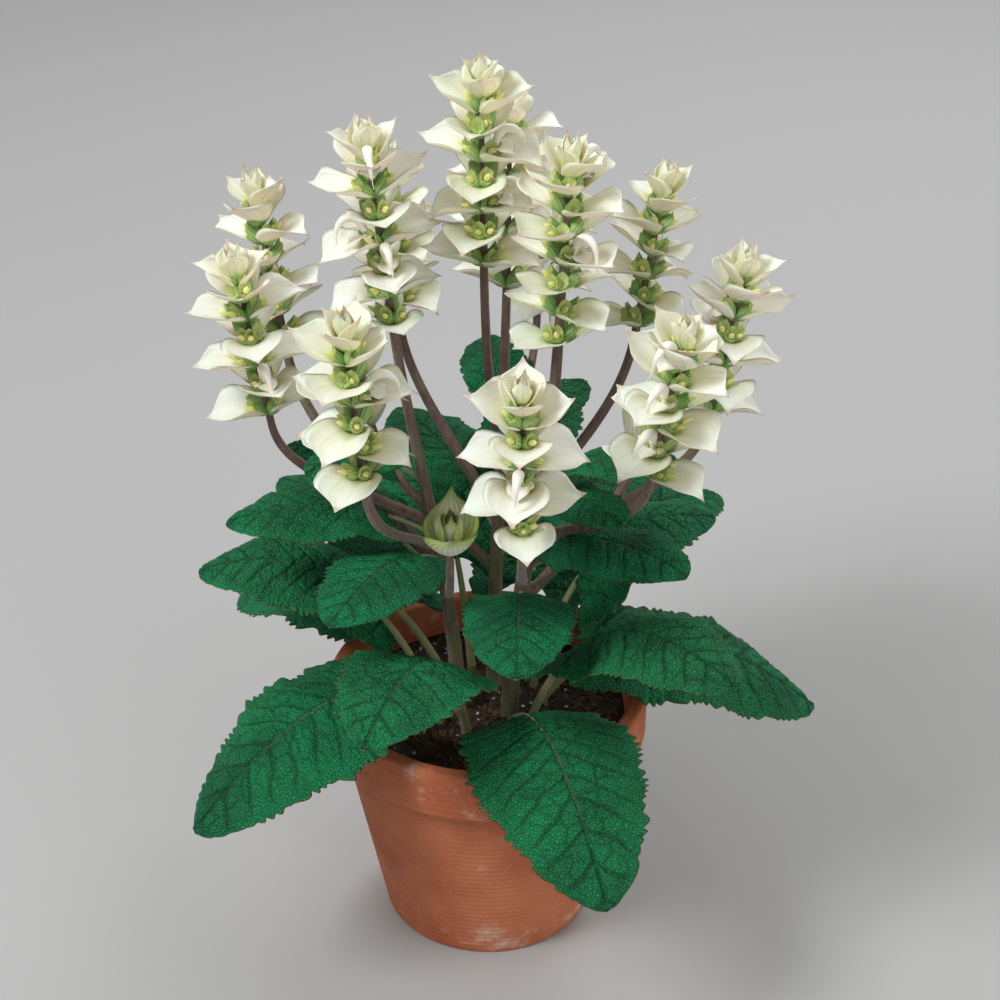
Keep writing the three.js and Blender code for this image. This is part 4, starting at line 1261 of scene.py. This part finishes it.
def make_pot():
    pot = lathe("pot_body", pot_profile())
    drills = []
    for i in range(DRAIN_HOLES):
        top = 2 * POT_FLOOR
        drill = lathe(f"drill_{i}", [(0, -5), (DRAIN_RADIUS, -5), (DRAIN_RADIUS, top), (0, top)], 40)
        drill.data.transform(Matrix.Translation(radial(120 * i, FOOT_RADIUS / 2) * MM))
        drills.append(drill)
        cut = pot.modifiers.new("drain", "BOOLEAN")
        cut.operation = "DIFFERENCE"
        cut.solver = "EXACT"
        cut.object = drill
    mesh = bpy.data.meshes.new_from_object(pot.evaluated_get(bpy.context.evaluated_depsgraph_get()))
    mesh.materials.clear()
    mesh.materials.append(TERRACOTTA)
    for used in [*drills, pot]:
        bpy.data.objects.remove(used)
    mesh.shade_smooth()
    return placed("clay_pot", mesh)


def make_compost():
    """The compost's block, with a lumpy crown."""
    rim = COMPOST_TOP - 3
    edge = fill_radius(rim)
    base = POT_FLOOR + REST_GAP
    crown = [(edge, rim), (edge * 0.8, COMPOST_TOP - 2.5), (edge * 0.5, COMPOST_TOP - 1), (0, COMPOST_TOP)]
    made = lathe("compost_block", [(0, base), (fill_radius(base), base), *subdivided(crown, 1.6)])
    for vertex in made.data.vertices:
        x, y, z = vertex.co / MM
        inside = 1 - math.hypot(x, y) / edge
        if z < COMPOST_TOP - 5 or inside < 0.01:
            continue
        lumps = 1.6 * math.sin(x * 0.19 + 1) * math.cos(y * 0.23)
        clods = 0.5 * math.sin(x * 0.9 + 2 * math.sin(y * 0.5)) * math.cos(y * 0.8 + math.sin(x * 0.7))
        vertex.co.z += (lumps + clods) * min(1, 8 * inside) * MM
    made.data.materials.append(COMPOST)
    return made


def strewn(name, density, seed, size, material):
    """Crumbs that lie on the compost."""
    sizes = {"Radius": (fill_radius(COMPOST_TOP) - 3) * MM, "Rounds": 1, "Density": density, "Seed": seed}
    sizes.update(Size=size * MM, Material=material)
    return grow(name, block.data.copy(), crumb_shape, sizes)


pot = settle(make_pot(), "terracotta", "pot")
block = make_compost()
chips = strewn("bark_chips", 34000.0, 3, 3.4, BARK)
grit = strewn("grit_grains", 3600.0, 11, 2.1, GRIT)
settle(block, "compost", "compost")
settle(chips, "compost")
settle(grit, "compost")

hair_sizes = {"Density": 60000.0, "Seed": 5, "Radius": 0.06 * MM, "Length": 1.3 * MM, "Material": HAIR}
down = grow("stem_down", stalks.data.copy(), hair_shape, hair_sizes)
settle(down, "stem")


# ---------------------------------------------------------------------------------------------------------------
# Floor, light and camera

FLOOR_REACH = 2.6
FLOOR_BEND = 3.6
WALL_HEIGHT = 5
VIEW_AZIMUTH = 12
VIEW_HEIGHT = 31
LENS = 70
SENSOR = 36
FRAME_MARGIN = 0.87


def make_floor():
    """A pale round floor that curves up into a pale wall far off on all sides."""
    bend = [math.pi / 2 * i / 16 for i in range(17)]
    path = [(FLOOR_REACH + FLOOR_BEND * math.sin(a), FLOOR_BEND * (1 - math.cos(a))) for a in bend]
    path.append((FLOOR_REACH + FLOOR_BEND, WALL_HEIGHT))
    turns = [360 * i / LATHE_STEPS for i in range(LATHE_STEPS)]
    corners = [(0, 0, 0)] + [tuple(radial(turn, radius, height)) for radius, height in path for turn in turns]
    faces = [(0, 1 + i, 1 + (i + 1) % LATHE_STEPS) for i in range(LATHE_STEPS)]
    for ring in range(len(path) - 1):
        low, high = 1 + ring * LATHE_STEPS, 1 + (ring + 1) * LATHE_STEPS
        for i in range(LATHE_STEPS):
            j = (i + 1) % LATHE_STEPS
            faces.append((low + i, high + i, high + j, low + j))
    mesh = bpy.data.meshes.new("floor")
    mesh.from_pydata(corners, [], faces)
    mesh.shade_smooth()
    mesh.materials.append(material("pale_floor", Base_Color=(0.42, 0.425, 0.425, 1), Roughness=0.9))
    return placed("floor", mesh)


def soft_light(name, place, target, size, power):
    light = bpy.data.lights.new(name, "AREA")
    light.shape = "DISK"
    light.size = size
    light.energy = power
    made = placed(name, light)
    made.location = place
    made.rotation_euler = (Vector(target) - Vector(place)).to_track_quat("-Z", "Y").to_euler()
    return made


low, high = CAD_BOX
centre = (Vector(low) + Vector(high)) / 2
floor = make_floor()
lights = [
    soft_light("key", (-1.5, -1.5, 2.6), centre, 1.1, 68),
    soft_light("fill", (2.2, -1.4, 1.3), centre, 2.2, 20),
    soft_light("back", (0.6, 2.2, 2.2), centre, 1.6, 30),
]

world = bpy.data.worlds.new("studio")
world.use_nodes = True
world.node_tree.nodes["Background"].inputs["Color"].default_value = (0.98, 0.97, 0.95, 1)
world.node_tree.nodes["Background"].inputs["Strength"].default_value = 0.68
bpy.context.scene.world = world
bpy.context.scene.view_settings.view_transform = "Standard"

azimuth, height = math.radians(VIEW_AZIMUTH), math.radians(VIEW_HEIGHT)
back = Vector((math.sin(azimuth) * math.cos(height), -math.cos(azimuth) * math.cos(height), math.sin(height)))
tall = (high[2] - low[2]) * math.cos(height) + (high[1] - low[1]) * math.sin(height)
distance = tall / 2 * FRAME_MARGIN / math.tan(math.atan(SENSOR / 2 / LENS))
camera = placed("camera", bpy.data.cameras.new("camera"))
camera.data.lens = LENS
camera.data.sensor_width = SENSOR
camera.location = centre + back * distance
camera.rotation_euler = (-back).to_track_quat("-Z", "Y").to_euler()
bpy.context.scene.camera = camera
